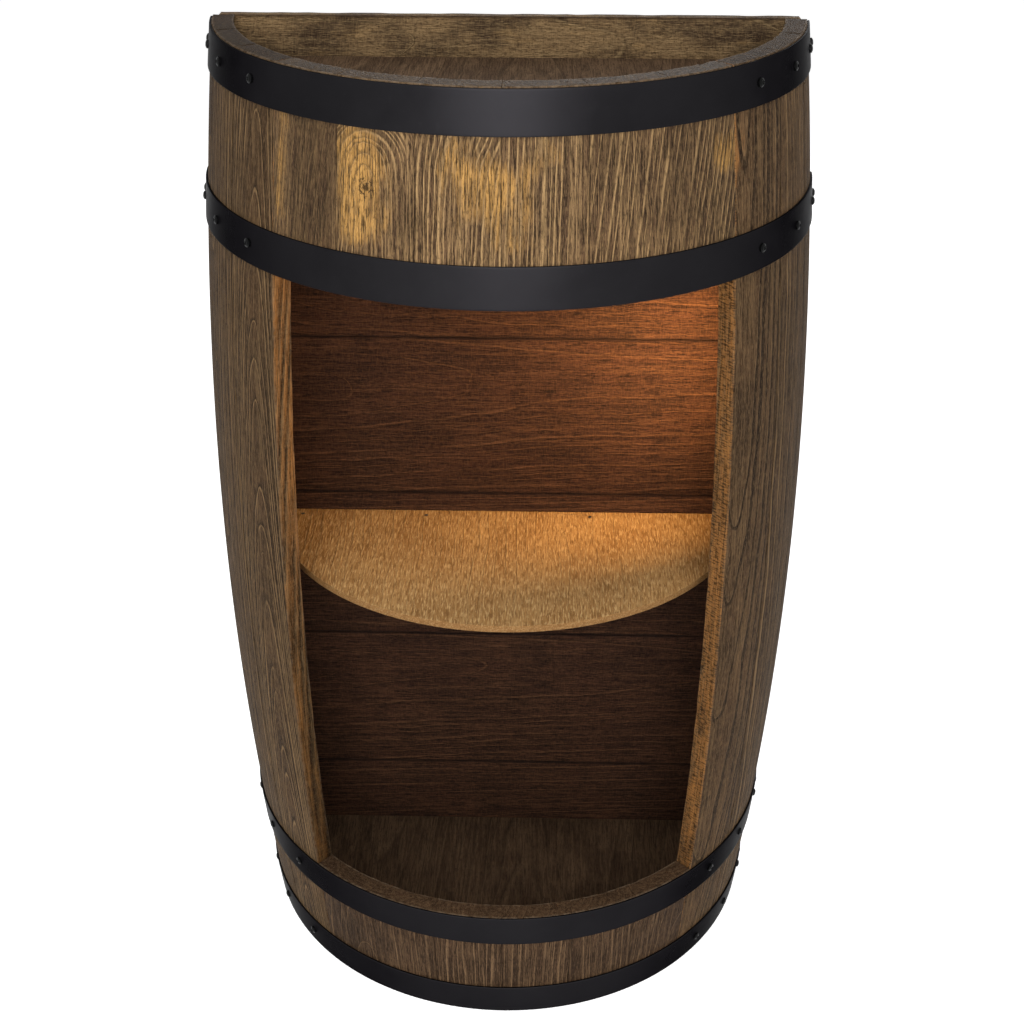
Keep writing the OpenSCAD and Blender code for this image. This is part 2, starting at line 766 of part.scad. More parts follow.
for (s = [0, 1], i = [1 : side_staves])
    side_stave(s, i - 1);
for (i = [1 : front_staves]) upper_stave(i - 1);
for (i = [1 : front_staves]) lower_stave(i - 1);
for (i = [1 : plank_count]) back_plank(i - 1);
lid();
floor_panel();
shelf();
shelf_cleat();
for (s = [0, 1]) shelf_block(s);
for (i = [0 : 3]) hoop(i);
for (i = [0 : 3]) hoop_screws(i);
plank_screws();
head_brads();
cleat_screws();
block_screws();
shelf_brads();
for (s = [0, 1]) hanger(2 * s - 1);
hanger_screws();
light_strip();
light_chips();
light_lead();
battery_pad();
battery_box();
battery_cells();
battery_contacts();
battery_cover();
switch_knob();
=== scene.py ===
import math

import bmesh
import bpy
import numpy as np
from mathutils import Matrix, Vector


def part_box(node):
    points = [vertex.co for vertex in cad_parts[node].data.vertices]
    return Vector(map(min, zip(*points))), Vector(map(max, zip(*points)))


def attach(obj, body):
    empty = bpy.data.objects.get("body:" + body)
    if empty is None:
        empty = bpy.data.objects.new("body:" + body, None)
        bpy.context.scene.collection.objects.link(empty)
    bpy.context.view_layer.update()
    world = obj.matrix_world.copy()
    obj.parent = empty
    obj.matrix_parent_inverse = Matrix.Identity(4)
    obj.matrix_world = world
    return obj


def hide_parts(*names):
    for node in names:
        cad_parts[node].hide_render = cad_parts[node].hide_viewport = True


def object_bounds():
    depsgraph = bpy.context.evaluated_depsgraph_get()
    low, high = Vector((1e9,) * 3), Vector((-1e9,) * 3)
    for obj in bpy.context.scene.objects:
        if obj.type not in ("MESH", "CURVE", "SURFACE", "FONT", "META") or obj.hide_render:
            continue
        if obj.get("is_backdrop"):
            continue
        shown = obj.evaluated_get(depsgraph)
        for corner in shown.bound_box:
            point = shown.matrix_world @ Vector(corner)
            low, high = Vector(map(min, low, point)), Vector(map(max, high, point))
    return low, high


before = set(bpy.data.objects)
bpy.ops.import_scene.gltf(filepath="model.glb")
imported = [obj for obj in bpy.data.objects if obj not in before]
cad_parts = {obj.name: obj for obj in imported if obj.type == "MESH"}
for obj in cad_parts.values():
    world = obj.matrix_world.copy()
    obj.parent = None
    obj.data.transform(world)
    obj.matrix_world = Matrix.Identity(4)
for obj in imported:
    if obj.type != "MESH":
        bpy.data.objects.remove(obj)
cadLow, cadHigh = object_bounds()
print("frame loaded")

# Sizes of the barrel that the frame's boxes don't give
barrel = {"cutBack": 0.008, "staveT": 0.016, "endR": 0.220, "openingDeg": 87.0, "plankInset": 0.005,
          "hoopT": 0.0015}

wallY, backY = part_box("back_plank_1")[0].y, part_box("back_plank_1")[1].y
axisY = backY + barrel["cutBack"]
height = cadHigh.z
midZ = height / 2
wallGap = axisY - wallY
bellyR = math.hypot((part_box("stave_right_1")[1].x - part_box("stave_left_1")[0].x) / 2, wallGap)
bulgeDrop = bellyR - barrel["endR"]
bulgeR = (midZ ** 2 + bulgeDrop ** 2) / (2 * bulgeDrop)
frontCount = sum(n.startswith("stave_upper_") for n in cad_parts)
sideCount = sum(n.startswith("stave_left_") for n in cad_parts)
plankCount = sum(n.startswith("back_plank_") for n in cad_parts)
cutAngle = math.radians(90 - barrel["openingDeg"] / 2)
frontPitch = math.radians(barrel["openingDeg"]) / frontCount
rearAngle = math.asin(wallGap / bellyR)
sidePitch = (cutAngle - rearAngle) / sideCount


def barrelR(z, depth):
    return bellyR - bulgeR + np.sqrt((bulgeR - depth) ** 2 - (z - midZ) ** 2)


def onBarrel(side, angle, z, depth):
    # Angle from the back at the left (side -1) or at the right (side 1), round to the front
    r = barrelR(z, depth)
    return np.stack([side * r * np.cos(angle), axisY - r * np.sin(angle), z], 1)


wobbleLook = {"waves": (1.0, 2.3, 4.1, 7.7), "turn": 6.28, "level": 2.2}


def wobble(t, seed):
    # Smooth irregular curve between about -1 and 1
    rng = np.random.default_rng(seed)
    total = np.zeros_like(t)
    for k in wobbleLook["waves"]:
        total += np.sin(t * k + rng.uniform(0, wobbleLook["turn"])) / math.sqrt(k)
    return total / wobbleLook["level"]


# Edges of a board: the band beside them that wears, the middle of their rounding, and their chips
edgeLook = {"rim": 0.0015, "arcMid": 0.586, "chipStep": 0.011, "fineShare": 0.35, "fineRate": 5}


def boxSurface(lines):
    # Quads of a box whose three axes are cut at the given lines
    n = [len(line) for line in lines]
    quads = []
    for axis in range(3):
        a, b = [k for k in range(3) if k != axis]
        ia, ib = np.meshgrid(np.arange(n[a] - 1), np.arange(n[b] - 1), indexing="ij")
        for end in (0, n[axis] - 1):
            corners = []
            for da, db in ((0, 0), (1, 0), (1, 1), (0, 1)):
                index = [None] * 3
                index[axis], index[a], index[b] = np.full(ia.size, end), (ia + da).ravel(), (ib + db).ravel()
                corners.append((index[0] * n[1] + index[1]) * n[2] + index[2])
            quad = np.stack(corners, 1)
            quads.append(quad[:, ::-1] if (end == 0) != (axis == 1) else quad)
    quads = np.concatenate(quads)
    used, flat = np.unique(quads, return_inverse=True)
    grid = np.stack(np.meshgrid(*lines, indexing="ij"), -1).reshape(-1, 3)
    return grid[used], flat.reshape(-1, 4)


def nearEdges(points, size, bevel):
    # How near a point lies to the two faces on each axis: 1 on them, 0 from the rim inwards
    return np.clip(1 - (np.minimum(points, np.array(size) - points) - bevel) / edgeLook["rim"], 0, 1)


def roundedBox(size, steps, bevel, wear=0.0, seed=0):
    # Points and quads of a box with rounded and slightly worn edges
    rim = bevel + edgeLook["rim"]
    lines = []
    for length, step in zip(size, steps):
        ends = [0, bevel * edgeLook["arcMid"], bevel] + ([rim] if length > 3 * rim else [])
        count = max(1, round((length - 2 * ends[-1]) / step))
        inner = np.linspace(ends[-1], length - ends[-1], count + 1)[1:-1]
        lines.append(np.concatenate([ends, inner, [length - e for e in reversed(ends)]]))
    points, quads = boxSurface(lines)
    size = np.array(size)
    core = np.clip(points, bevel, size - bevel)
    out = points - core
    out /= np.linalg.norm(out, axis=1)[:, None]
    rounded = core + bevel * out
    if wear:
        edge = np.sort(nearEdges(points, size, bevel), axis=1)[:, 1]
        along = points.sum(1) / edgeLook["chipStep"]
        fine = wobble(along * edgeLook["fineRate"], seed + 1)
        chip = np.clip(wobble(along, seed) + edgeLook["fineShare"] * fine, 0, 1)
        rounded -= out * (wear * chip * edge ** 2)[:, None]
    return rounded, quads


def addObject(name, mesh):
    obj = bpy.data.objects.new(name, mesh)
    bpy.context.scene.collection.objects.link(obj)
    return obj


def makeMesh(name, points, quads, attributes=None):
    mesh = bpy.data.meshes.new(name)
    mesh.from_pydata(points.tolist(), [], quads.tolist())
    mesh.update()
    a, b, c = (points[quads[:, k]] for k in (0, 1, 2))
    if np.einsum("ij,ij->", a, np.cross(b, c)) < 0:
        mesh.flip_normals()
    for key, values in (attributes or {}).items():
        addAttribute(mesh, key, values)
    mesh.shade_smooth()
    return addObject(name, mesh)


# Angles in degrees: which CAD facets merge, which edges are rounded, and which stay sharp in the shading
facetDeg, roundedDeg, keptSharpDeg, stripSharpDeg = 0.5, 35, 40, 35


def addAttribute(mesh, key, values):
    values = np.asarray(values, np.float32)
    kind, slot = ("FLOAT", "value") if values.ndim == 1 else ("FLOAT_VECTOR", "vector")
    mesh.attributes.new(key, kind, "POINT").data.foreach_set(slot, values.ravel())


# Each board takes its grain from its own stretch of the noise, this many millimetres on for each seed. The
# boards of a kind count on from the kind's first seed, and staves skip a few.
seedStep = {"across": 170.0, "along": 3000.0}
seeds = {"left": 40, "right": 3, "upper": 60, "lower": 90, "plank": 130, "head": 150, "shelf": 170,
         "batten": 180}
seedSkip = {"side": 11, "front": 7}
leastSteep, usualGap, endCalm = 0.06, 5.0, 0.8


def grainOf(across, depth, along, cut):
    # Millimetres on the board; millimetres from the tree's centre with the gap between its rings; and how
    # steeply the rings cut through the face, how calm the grain is and how bold its rings are
    a, d, z = across * 1000, depth * 1000, along * 1000
    squeeze = cut.get("squeeze", 1.0)
    crownAt, crownRise, crownWidth = cut.get("crown", (0, 0, 10))
    crown = 1 / (1 + np.exp(-(z - crownAt) / crownWidth))
    x = (a - cut["pith"][0] - cut["lean"][0] * z) * squeeze
    y = d - cut["pith"][1] - cut["lean"][1] * z + crownRise * crown
    r = np.hypot(x, y)
    yAlong = -cut["lean"][1] + crownRise * crown * (1 - crown) / crownWidth
    steep = np.hypot(x * squeeze, -cut["lean"][0] * squeeze * x + yAlong * y) / np.maximum(r, 1.0)
    grain = np.stack([a + seedStep["across"] * cut["seed"], d, z + seedStep["along"] * cut["seed"]], 1)
    calm, bold = (np.full(len(x), cut.get(key, 0.0)) for key in ("calm", "bold"))
    look = np.stack([np.maximum(steep, leastSteep), calm, bold], 1)
    ring = np.stack([x, y, np.full(len(x), cut.get("gap", usualGap))], 1)
    return {"grain": grain, "ring": ring, "cut": look}


def boardData(points, size, cut, look, faces=None):
    # Attributes of a board's points, given across, depth and along
    near = nearEdges(points, size, look["bevel"])
    joint, ends = np.minimum(near[:, 0], near[:, 1]), np.minimum(near[:, 2], near[:, 1])
    tone = np.full(len(points), cut.get("tone", 1.0))
    gold = np.full(len(points), cut.get("gold", 0.0))
    saw = np.zeros(len(points))
    edge = ends - look["joint"] * joint
    if faces:
        tone, gold, saw, edge = faces(points, tone, gold, saw, edge, joint)
    data = grainOf(points[:, 0] - size[0] / 2, points[:, 1], points[:, 2], cut)
    # On end grain the rings are true circles and show faintly
    data["cut"][:, 0] += (1 - data["cut"][:, 0]) * near[:, 2]
    data["cut"][:, 1] = np.maximum(data["cut"][:, 1], endCalm * near[:, 2])
    data["cut"][:, 2] *= 1 - saw
    return {**data, "board": np.stack([tone, gold, saw], 1), "edge": edge}


def boardMesh(name, size, steps, place, cut, look, faces=None):
    # Board whose local box is across, depth and along; place() bends it to the barrel
    points, quads = roundedBox(size, steps, look["bevel"], look["wear"], cut["seed"])
    return makeMesh(name, place(points), quads, boardData(points, size, cut, look, faces))


def addPiece(obj, material, node, body="cabinet"):
    # A finished piece that stands for one CAD node
    obj.data.materials.clear()
    obj.data.materials.append(material)
    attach(obj, body)
    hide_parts(node)


def joined(parts, name):
    # One object out of several
    target = bmesh.new()
    for part in parts:
        target.from_mesh(part.data)
    mesh = bpy.data.meshes.new(name)
    target.to_mesh(mesh)
    target.free()
    for part in parts:
        bpy.data.objects.remove(part)
    mesh.shade_smooth()
    return addObject(name, mesh)


def roundEdges(shape, edges, width, segments):
    bmesh.ops.bevel(shape, geom=edges, offset=width, segments=segments, profile=0.5, affect="EDGES",
                    clamp_overlap=True)


def softened(node, name, width):
    # Copy of a CAD node with rounded edges
    shape = bmesh.new()
    shape.from_mesh(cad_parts[node].data)
    bmesh.ops.remove_doubles(shape, verts=shape.verts, dist=2e-6)
    bmesh.ops.dissolve_limit(shape, angle_limit=math.radians(facetDeg), verts=shape.verts, edges=shape.edges)
    if width:
        pairs = [e for e in shape.edges if len(e.link_faces) == 2]
        sharp = [e for e in pairs if e.calc_face_angle(0) > math.radians(roundedDeg)]
        roundEdges(shape, sharp, width, 2)
    mesh = bpy.data.meshes.new(name)
    shape.to_mesh(mesh)
    shape.free()
    mesh.shade_smooth()
    mesh.set_sharp_from_angle(angle=math.radians(keptSharpDeg))
    return addObject(name, mesh)


def linear(*levels):
    # Colour given in the 0 to 255 steps of a picture
    color = [v / 255 / 12.92 if v <= 10 else ((v / 255 + 0.055) / 1.055) ** 2.4 for v in levels]
    return (*color, 1.0)


class Graph:
    def __init__(self, name):
        self.material = bpy.data.materials.new(name)
        self.material.use_nodes = True
        self.tree = self.material.node_tree
        self.tree.nodes.clear()
        self.shader = self.node("ShaderNodeBsdfPrincipled")
        out = self.node("ShaderNodeOutputMaterial")
        self.tree.links.new(self.shader.outputs[0], out.inputs[0])

    def node(self, kind, settings=None, inputs=None):
        made = self.tree.nodes.new(kind)
        for key, value in (settings or {}).items():
            setattr(made, key, value)
        for key, value in (inputs or {}).items():
            self.put(made.inputs[key], value)
        return made

    def put(self, socket, value):
        if isinstance(value, bpy.types.NodeSocket):
            self.tree.links.new(value, socket)
        else:
            socket.default_value = value

    def attribute(self, name, out="Vector"):
        return self.node("ShaderNodeAttribute", {"attribute_name": name}).outputs[out]

    def split(self, vector):
        return self.node("ShaderNodeSeparateXYZ", inputs={0: vector}).outputs

    def join(self, x, y, z):
        return self.node("ShaderNodeCombineXYZ", inputs={0: x, 1: y, 2: z}).outputs[0]

    def math(self, operation, a, b=0.0, c=0.0, clamp=False):
        settings = {"operation": operation, "use_clamp": clamp}
        return self.node("ShaderNodeMath", settings, {0: a, 1: b, 2: c}).outputs[0]

    def scaled(self, vector, by):
        by = (by, by, by) if isinstance(by, (int, float)) else by
        made = self.node("ShaderNodeVectorMath", {"operation": "MULTIPLY"}, {0: vector, 1: by})
        return made.outputs[0]

    def noise(self, vector, scale, detail=2.0, roughness=0.5, distortion=0.0):
        return self.node("ShaderNodeTexNoise", {"noise_dimensions": "3D"}, {
            "Vector": self.scaled(vector, scale), "Scale": 1.0, "Detail": detail, "Roughness": roughness,
            "Distortion": distortion}).outputs[0]

    def span(self, x, low, high, outLow=0.0, outHigh=1.0, smooth=False):
        kind = "SMOOTHSTEP" if smooth else "LINEAR"
        return self.node("ShaderNodeMapRange", {"interpolation_type": kind}, {
            0: x, 1: low, 2: high, 3: outLow, 4: outHigh}).outputs[0]

    def mix(self, factor, a, b, kind="MIX"):
        made = self.node("ShaderNodeMix", {"data_type": "RGBA", "blend_type": kind, "clamp_factor": True})
        self.put(made.inputs[0], factor)
        self.put(made.inputs[6], a)
        self.put(made.inputs[7], b)
        return made.outputs[2]

    def bump(self, heightSocket, distance, strength):
        return self.node("ShaderNodeBump", inputs={
            "Height": heightSocket, "Distance": distance, "Strength": strength}).outputs[0]

    def finish(self, **inputs):
        for key, value in inputs.items():
            self.put(self.shader.inputs[key.replace("_", " ")], value)
        return self.material


# Scales of the wood's noises per millimetre: across, deep and along the board. In the shader, span() turns
# the stretch of a noise between two levels into a mask.
woodNoise = {
    "slow": (0.013, 0.013, 0.005), "fine": (0.16, 0.16, 0.03), "shown": (0.06, 0.06, 0.008),
    "band": (0.30, 0.30, 0.010), "vein": (0.19, 0.19, 0.0045), "blotch": (0.022, 0.022, 0.014),
    "pit": (0.9, 0.9, 0.22), "smudge": (0.07, 0.07, 0.03), "rub": (0.045, 0.045, 0.026),
    "streak": (0.30, 0.30, 0.016), "saw": (0.16, 0.16, 0.75), "worn": 0.16, "knot": 0.33, "bark": 0.22,
}
# A knot: how uneven it is, how far it pushes the rings, and the radius, inner and outer fade of its bark
knotLook = {"uneven": 0.8, "push": 9.0, "barkR": 1.25, "barkOuter": 0.30, "barkInner": 0.08, "dark": 0.85}


def knotShape(g, grain, at):
    # Distance from a knot's middle, in its own radii, slightly uneven
    x, y, z = g.split(grain)
    dx = g.math("DIVIDE", g.math("SUBTRACT", x, at[0]), at[2])
    dz = g.math("DIVIDE", g.math("SUBTRACT", z, at[1]), at[3])
    away = g.math("SQRT", g.math("ADD", g.math("MULTIPLY", dx, dx), g.math("MULTIPLY", dz, dz)))
    rough = g.noise(grain, woodNoise["knot"], 3.0, 0.7)
    return g.math("ADD", away, g.span(rough, 0.2, 0.8, -knotLook["uneven"], knotLook["uneven"]))


def makeWood(name, look):
    g = Graph(name)
    grain = g.attribute("grain")
    x, y, gap = g.split(g.attribute("ring"))
    tone, gold, saw = g.split(g.attribute("board"))
    steep, calm, bold = g.split(g.attribute("cut"))
    edge = g.attribute("edge", "Fac")
    live = g.math("SUBTRACT", 1.0, calm)

    # Rings of the tree, bent slowly along the board, ruffled finely across it and swept round any knot
    slow = g.span(g.noise(grain, woodNoise["slow"], 2.0), 0.2, 0.8, -look["bend"], look["bend"])
    fine = g.span(g.noise(grain, woodNoise["fine"], 2.0), 0.2, 0.8, -look["ruffle"], look["ruffle"])
    shift = g.math("MULTIPLY_ADD", fine, steep, slow)
    knots = [knotShape(g, grain, at) for at in look.get("knots", [])]
    for away in knots:
        push = g.math("DIVIDE", knotLook["push"], g.math("MULTIPLY_ADD", away, away, 1.0))
        shift = g.math("ADD", shift, push)
    rx, ry = g.math("ADD", x, shift), g.math("ADD", y, shift)
    ring = g.math("SQRT", g.math("ADD", g.math("MULTIPLY", rx, rx), g.math("MULTIPLY", ry, ry)))
    uneven = g.noise(g.join(ring, 0.0, 0.0), (0.09, 1.0, 1.0), 1.0)
    phase = g.math("FRACT", g.math("MULTIPLY_ADD", uneven, 2.4, g.math("DIVIDE", ring, gap)))
    width = g.math("DIVIDE", gap, steep)
    away = g.math("MULTIPLY", g.math("MINIMUM", phase, g.math("SUBTRACT", 1.0, phase)), width)
    line = g.span(away, look["lineW"], look["lineW"] * 0.35)
    darkFrom, darkTo = g.math("MULTIPLY_ADD", bold, 1.8, 2.6), g.math("MULTIPLY_ADD", bold, 1.4, 0.5)
    dark = g.span(g.math("MULTIPLY", phase, width), darkFrom, darkTo)
    shown = g.span(g.noise(grain, woodNoise["shown"], 2.0), 0.36, 0.52, look["faint"], 1.0)
    shown = g.math("MAXIMUM", shown, bold)

    # Fibres: broad and long, fine and short, and the pits that hold the stain
    band = g.noise(grain, woodNoise["band"], 3.0, 0.6)
    vein = g.noise(grain, woodNoise["vein"], 1.0, 0.5, 0.3)
    vein = g.span(g.math("ABSOLUTE", g.math("SUBTRACT", vein, 0.5)), 0.018, 0.007)
    fibre = g.noise(grain, look["fibreScale"], 3.0, 0.65)
    hair = g.noise(grain, look["hairScale"], 2.0, 0.6)
    blotch = g.noise(grain, woodNoise["blotch"], 4.0, 0.6)
    pit = g.span(g.noise(grain, woodNoise["pit"], 3.0, 0.75), 0.54, 0.62)

    line = g.math("MAXIMUM", g.math("MULTIPLY", line, shown), g.math("MULTIPLY", vein, look["vein"]))
    line = g.math("MULTIPLY", line, g.math("MULTIPLY", live, g.span(fibre, 0.36, 0.48, 0.35, 1.0)))
    color = g.mix(g.span(blotch, 0.38, 0.62, smooth=True), look["dark"], look["mid"])
    smudge = g.noise(grain, woodNoise["smudge"], 3.0, 0.6)
    smudge = g.span(smudge, 0.54, 0.68, 0.0, look["smudge"], smooth=True)
    color = g.mix(smudge, color, look["deep"])
    color = g.mix(g.span(band, 0.44, 0.62, 0.0, look["band"]), color, look["light"])

    # Gold where the stain is rubbed through, in patches with streaky edges
    rub = g.math("MULTIPLY", g.noise(grain, woodNoise["rub"], 4.0, 0.65), 0.55)
    streak = g.noise(grain, woodNoise["streak"], 3.0, 0.6)
    rub = g.math("ADD", g.math("MULTIPLY_ADD", streak, 0.35, rub), gold)
    rub = g.math("MULTIPLY", g.span(rub, 0.58, 0.80, smooth=True), g.span(band, 0.36, 0.48, 0.55, 1.0))
    color = g.mix(g.math("MULTIPLY", rub, look["rub"]), color, look["gold"])
    line = g.math("MULTIPLY", line, g.math("MULTIPLY_ADD", g.math("MAXIMUM", rub, bold), -0.75, 1.0))

    groove = g.math("MULTIPLY", g.math("MULTIPLY", dark, shown), g.math("ADD", bold, look["darkLine"]))
    color = g.mix(groove, color, look["deep"])
    dash = g.span(fibre, 0.49, 0.43, 0.0, look["fibre"])
    dash = g.math("MULTIPLY", dash, g.math("MULTIPLY_ADD", calm, -0.5, 1.0))
    color = g.mix(dash, color, look["deep"])
    color = g.mix(g.math("MULTIPLY", line, look["line"]), color, look["light"])
    color = g.mix(g.span(hair, 0.51, 0.62, 0.0, look["hair"]), color, look["light"])
    color = g.mix(g.math("MULTIPLY", pit, look["pit"]), color, look["deep"])
    for away in knots:
        bark = g.math("ABSOLUTE", g.math("SUBTRACT", away, knotLook["barkR"]))
        bark = g.span(bark, knotLook["barkOuter"], knotLook["barkInner"])
        bark = g.math("MULTIPLY", bark, g.span(g.noise(grain, woodNoise["bark"], 2.0), 0.44, 0.54))
        core = g.math("MAXIMUM", g.span(away, 0.70, 0.35), bark)
        color = g.mix(g.math("MULTIPLY", core, knotLook["dark"]), color, look["deep"])
    color = g.mix(1.0, color, g.join(tone, tone, tone), "MULTIPLY")

    # Cross marks of the saw, only where a face was sawn
    marks = g.noise(grain, woodNoise["saw"], 3.0, 0.7)
    color = g.mix(g.math("MULTIPLY", saw, g.span(marks, 0.50, 0.60, 0.0, 0.6)), color, look["gold"])
    color = g.mix(g.math("MULTIPLY", saw, g.span(marks, 0.50, 0.40, 0.0, 0.8)), color, look["deep"])

    # Worn ends and dark joints
    uneven = g.span(g.noise(grain, woodNoise["worn"], 3.0, 0.6), 0.38, 0.58)
    worn = g.math("MULTIPLY", edge, uneven, clamp=True)
    color = g.mix(g.math("MULTIPLY", worn, look["edge"]), color, look["worn"])
    color = g.mix(g.math("MULTIPLY", edge, -1.0, clamp=True), color, look["deep"])

    rough = g.span(fibre, 0.3, 0.7, look["rough"] + 0.12, look["rough"] - 0.06)
    bumps = g.math("MULTIPLY_ADD", line, 0.9, g.math("MULTIPLY", fibre, 1.6))
    bumps = g.math("MULTIPLY_ADD", hair, 0.6, bumps)
    bumps = g.math("MULTIPLY_ADD", pit, -0.4, bumps)
    bumps = g.math("MULTIPLY_ADD", g.math("MULTIPLY", saw, marks), 3.0, bumps)
    return g.finish(Base_Color=color, Roughness=rough, Normal=g.bump(bumps, look["relief"], 0.9),
                    Specular_IOR_Level=look["gloss"])


# Scales of the paint's noises per metre
paintNoise = {"cloud": 14.0, "peel": 900.0, "dust": 260.0}


def makePaint(name, look):
    # Smooth paint, plating or plastic, with faint orange peel and dust
    g = Graph(name)
    place = g.node("ShaderNodeTexCoord").outputs["Object"]
    cloud = g.noise(place, paintNoise["cloud"], 3.0, 0.6)
    peel = g.noise(place, paintNoise["peel"], 2.0, 0.5)
    dust = g.noise(place, paintNoise["dust"], 3.0, 0.7)
    color = g.mix(g.span(cloud, 0.3, 0.7), look["dark"], look["mid"])
    color = g.mix(g.math("MULTIPLY", g.span(dust, 0.6, 0.78), look["dust"]), color, look["light"])
    rough = g.span(cloud, 0.3, 0.7, look["rough"] - 0.04, look["rough"] + 0.05)
    rough = g.math("ADD", rough, g.span(dust, 0.5, 0.8, 0.0, 0.06))
    bumps = g.math("ADD", peel, g.math("MULTIPLY", dust, 0.4))
    return g.finish(Base_Color=color, Roughness=rough, Metallic=look.get("metal", 0.0),
                    Specular_IOR_Level=look["gloss"], Specular_Tint=(look.get("rimTint", 1.0),) * 3 + (1.0,),
                    Normal=g.bump(bumps, look["relief"], 0.5))


woodLook = {
    "bend": 3.0, "ruffle": 0.9, "band": 0.3, "rub": 0.95, "line": 0.9, "lineW": 0.85, "vein": 0.5,
    "faint": 0.3, "darkLine": 0.6, "fibre": 0.85, "smudge": 0.55, "hair": 0.35, "pit": 0.55, "edge": 0.6,
    "rough": 0.6, "relief": 0.0005, "gloss": 0.07,
    "fibreScale": (0.95, 0.95, 0.045), "hairScale": (2.2, 2.2, 0.16),
    "dark": linear(66, 48, 35), "mid": linear(96, 72, 51), "deep": linear(33, 23, 16),
    "light": linear(176, 142, 98), "gold": linear(196, 148, 82), "worn": linear(128, 110, 90),
}


def woodOf(name, **changes):
    return makeWood(name, {**woodLook, **changes})


# The one knot lies on the second upper stave: millimetres from its middle and its foot, and its two radii
knot = {"stave": 2, "across": -6, "up": 76, "radii": (4.0, 5.0)}
knotSeed = seeds["upper"] + seedSkip["front"] * knot["stave"]
knotAt = (seedStep["across"] * knotSeed + knot["across"], seedStep["along"] * knotSeed + knot["up"],
          *knot["radii"])
woods = {
    # The side staves are darker than the apron: partly a darker stain, partly painted shade where they turn
    # away from the front light
    "side": woodOf("stainedSidesPaintedShade", dark=linear(52, 38, 26), mid=linear(73, 54, 37), deep=linear(28, 19, 13),
                   light=linear(142, 114, 80), gold=linear(148, 101, 54), band=0.25, pit=0.35, fibre=0.65,
                   vein=0.25, darkLine=0.85, edge=0.4, gloss=0.03),
    "apron": woodOf("rubbedApron", knots=[knotAt]),
    "rim": woodOf("stainedRim", dark=linear(52, 37, 26), mid=linear(72, 53, 38), light=linear(128, 101, 74),
                  gold=linear(132, 98, 62), line=0.8, gloss=0.04),
    "back": woodOf("roughBack", dark=linear(40, 23, 16), mid=linear(58, 35, 24), deep=linear(20, 11, 8),
                   light=linear(100, 68, 46), gold=linear(108, 74, 48), relief=0.0008, rough=0.7, gloss=0.1,
                   line=0.6),
    "tray": woodOf("trayBack", dark=linear(64, 49, 36), mid=linear(128, 103, 72), deep=linear(42, 27, 19),
                   light=linear(176, 148, 106), gold=linear(172, 138, 92), relief=0.0008, rough=0.7,
                   gloss=0.1, band=0.15, vein=0.2, faint=0.1, line=0.4, fibre=0.4, hair=0.3, smudge=0.55,
                   hairScale=(1.1, 1.1, 0.12)),
    "head": woodOf("stainedHeads", dark=linear(68, 51, 38), mid=linear(92, 72, 54), deep=linear(42, 31, 22),
                   light=linear(126, 102, 78), line=0.3, hair=0.2, fibre=0.6),
    "shelf": woodOf("shelfVeneer", dark=linear(176, 132, 80), mid=linear(194, 150, 94),
                    deep=linear(128, 88, 50), light=linear(232, 192, 132), gold=linear(206, 160, 102),
                    worn=linear(128, 96, 58), rub=0.2, smudge=0.2, line=0.1, vein=0.0, darkLine=0.1,
                    fibre=0.55, hair=0.8, pit=0.2, band=0.2,
                    fibreScale=(0.62, 0.62, 0.07), hairScale=(0.85, 0.85, 0.10)),
    "batten": woodOf("plainBattens", dark=linear(140, 110, 74), mid=linear(170, 138, 96),
                     deep=linear(96, 70, 44), light=linear(204, 176, 132), gold=linear(190, 156, 110),
                     line=0.4, darkLine=0.5),
}


def paintOf(name, dark, mid, light, **look):
    return makePaint(name, {"dark": linear(*dark), "mid": linear(*mid), "light": linear(*light), **look})


blackPaint = paintOf("blackPaint", (31, 30, 32), (36, 35, 37), (84, 84, 86),
                     dust=0.04, rough=0.40, gloss=0.5, relief=0.00006, metal=1.0, rimTint=0.4)
blackOxide = paintOf("blackOxide", (5, 5, 5), (9, 9, 10), (50, 50, 52),
                     dust=0.04, rough=0.34, gloss=0.08, relief=0.00002)
zinc = paintOf("zincPlate", (138, 138, 136), (160, 160, 157), (196, 194, 188),
               dust=0.4, rough=0.34, gloss=0.5, relief=0.00004, metal=1.0)
boxPlastic = paintOf("boxPlastic", (30, 29, 29), (38, 37, 36), (80, 80, 80),
                     dust=0.15, rough=0.5, gloss=0.5, relief=0.00008)
palePlastic = paintOf("palePlastic", (212, 206, 190), (226, 220, 206), (240, 236, 226),
                      dust=0.2, rough=0.5, gloss=0.5, relief=0.00003)
foam = paintOf("foamTape", (226, 226, 224), (238, 238, 236), (250, 250, 250),
               dust=0.4, rough=0.85, gloss=0.3, relief=0.0003)
greyPlastic = paintOf("greyPlastic", (150, 150, 150), (168, 168, 168), (200, 200, 200),
                      dust=0.2, rough=0.4, gloss=0.5, relief=0.00003)
cellSleeve = paintOf("cellSleeve", (44, 84, 70), (52, 98, 82), (120, 160, 150),
                     dust=0.1, rough=0.3, gloss=0.5, relief=0.00002)
chipLook = {"dark": (1.0, 0.62, 0.25, 1.0), "light": (1.0, 0.78, 0.42, 1.0), "noise": 700.0, "rough": 0.35,
            "glow": 6.0}


def makeChip():
    # Yellow phosphor that glows
    g = Graph("litChip")
    place = g.node("ShaderNodeTexCoord").outputs["Object"]
    cloud = g.noise(place, chipLook["noise"], 2.0, 0.5)
    color = g.mix(g.span(cloud, 0.3, 0.7), chipLook["dark"], chipLook["light"])
    return g.finish(Base_Color=color, Roughness=chipLook["rough"], Emission_Color=color,
                    Emission_Strength=chipLook["glow"])


litChip = makeChip()
print("materials made")

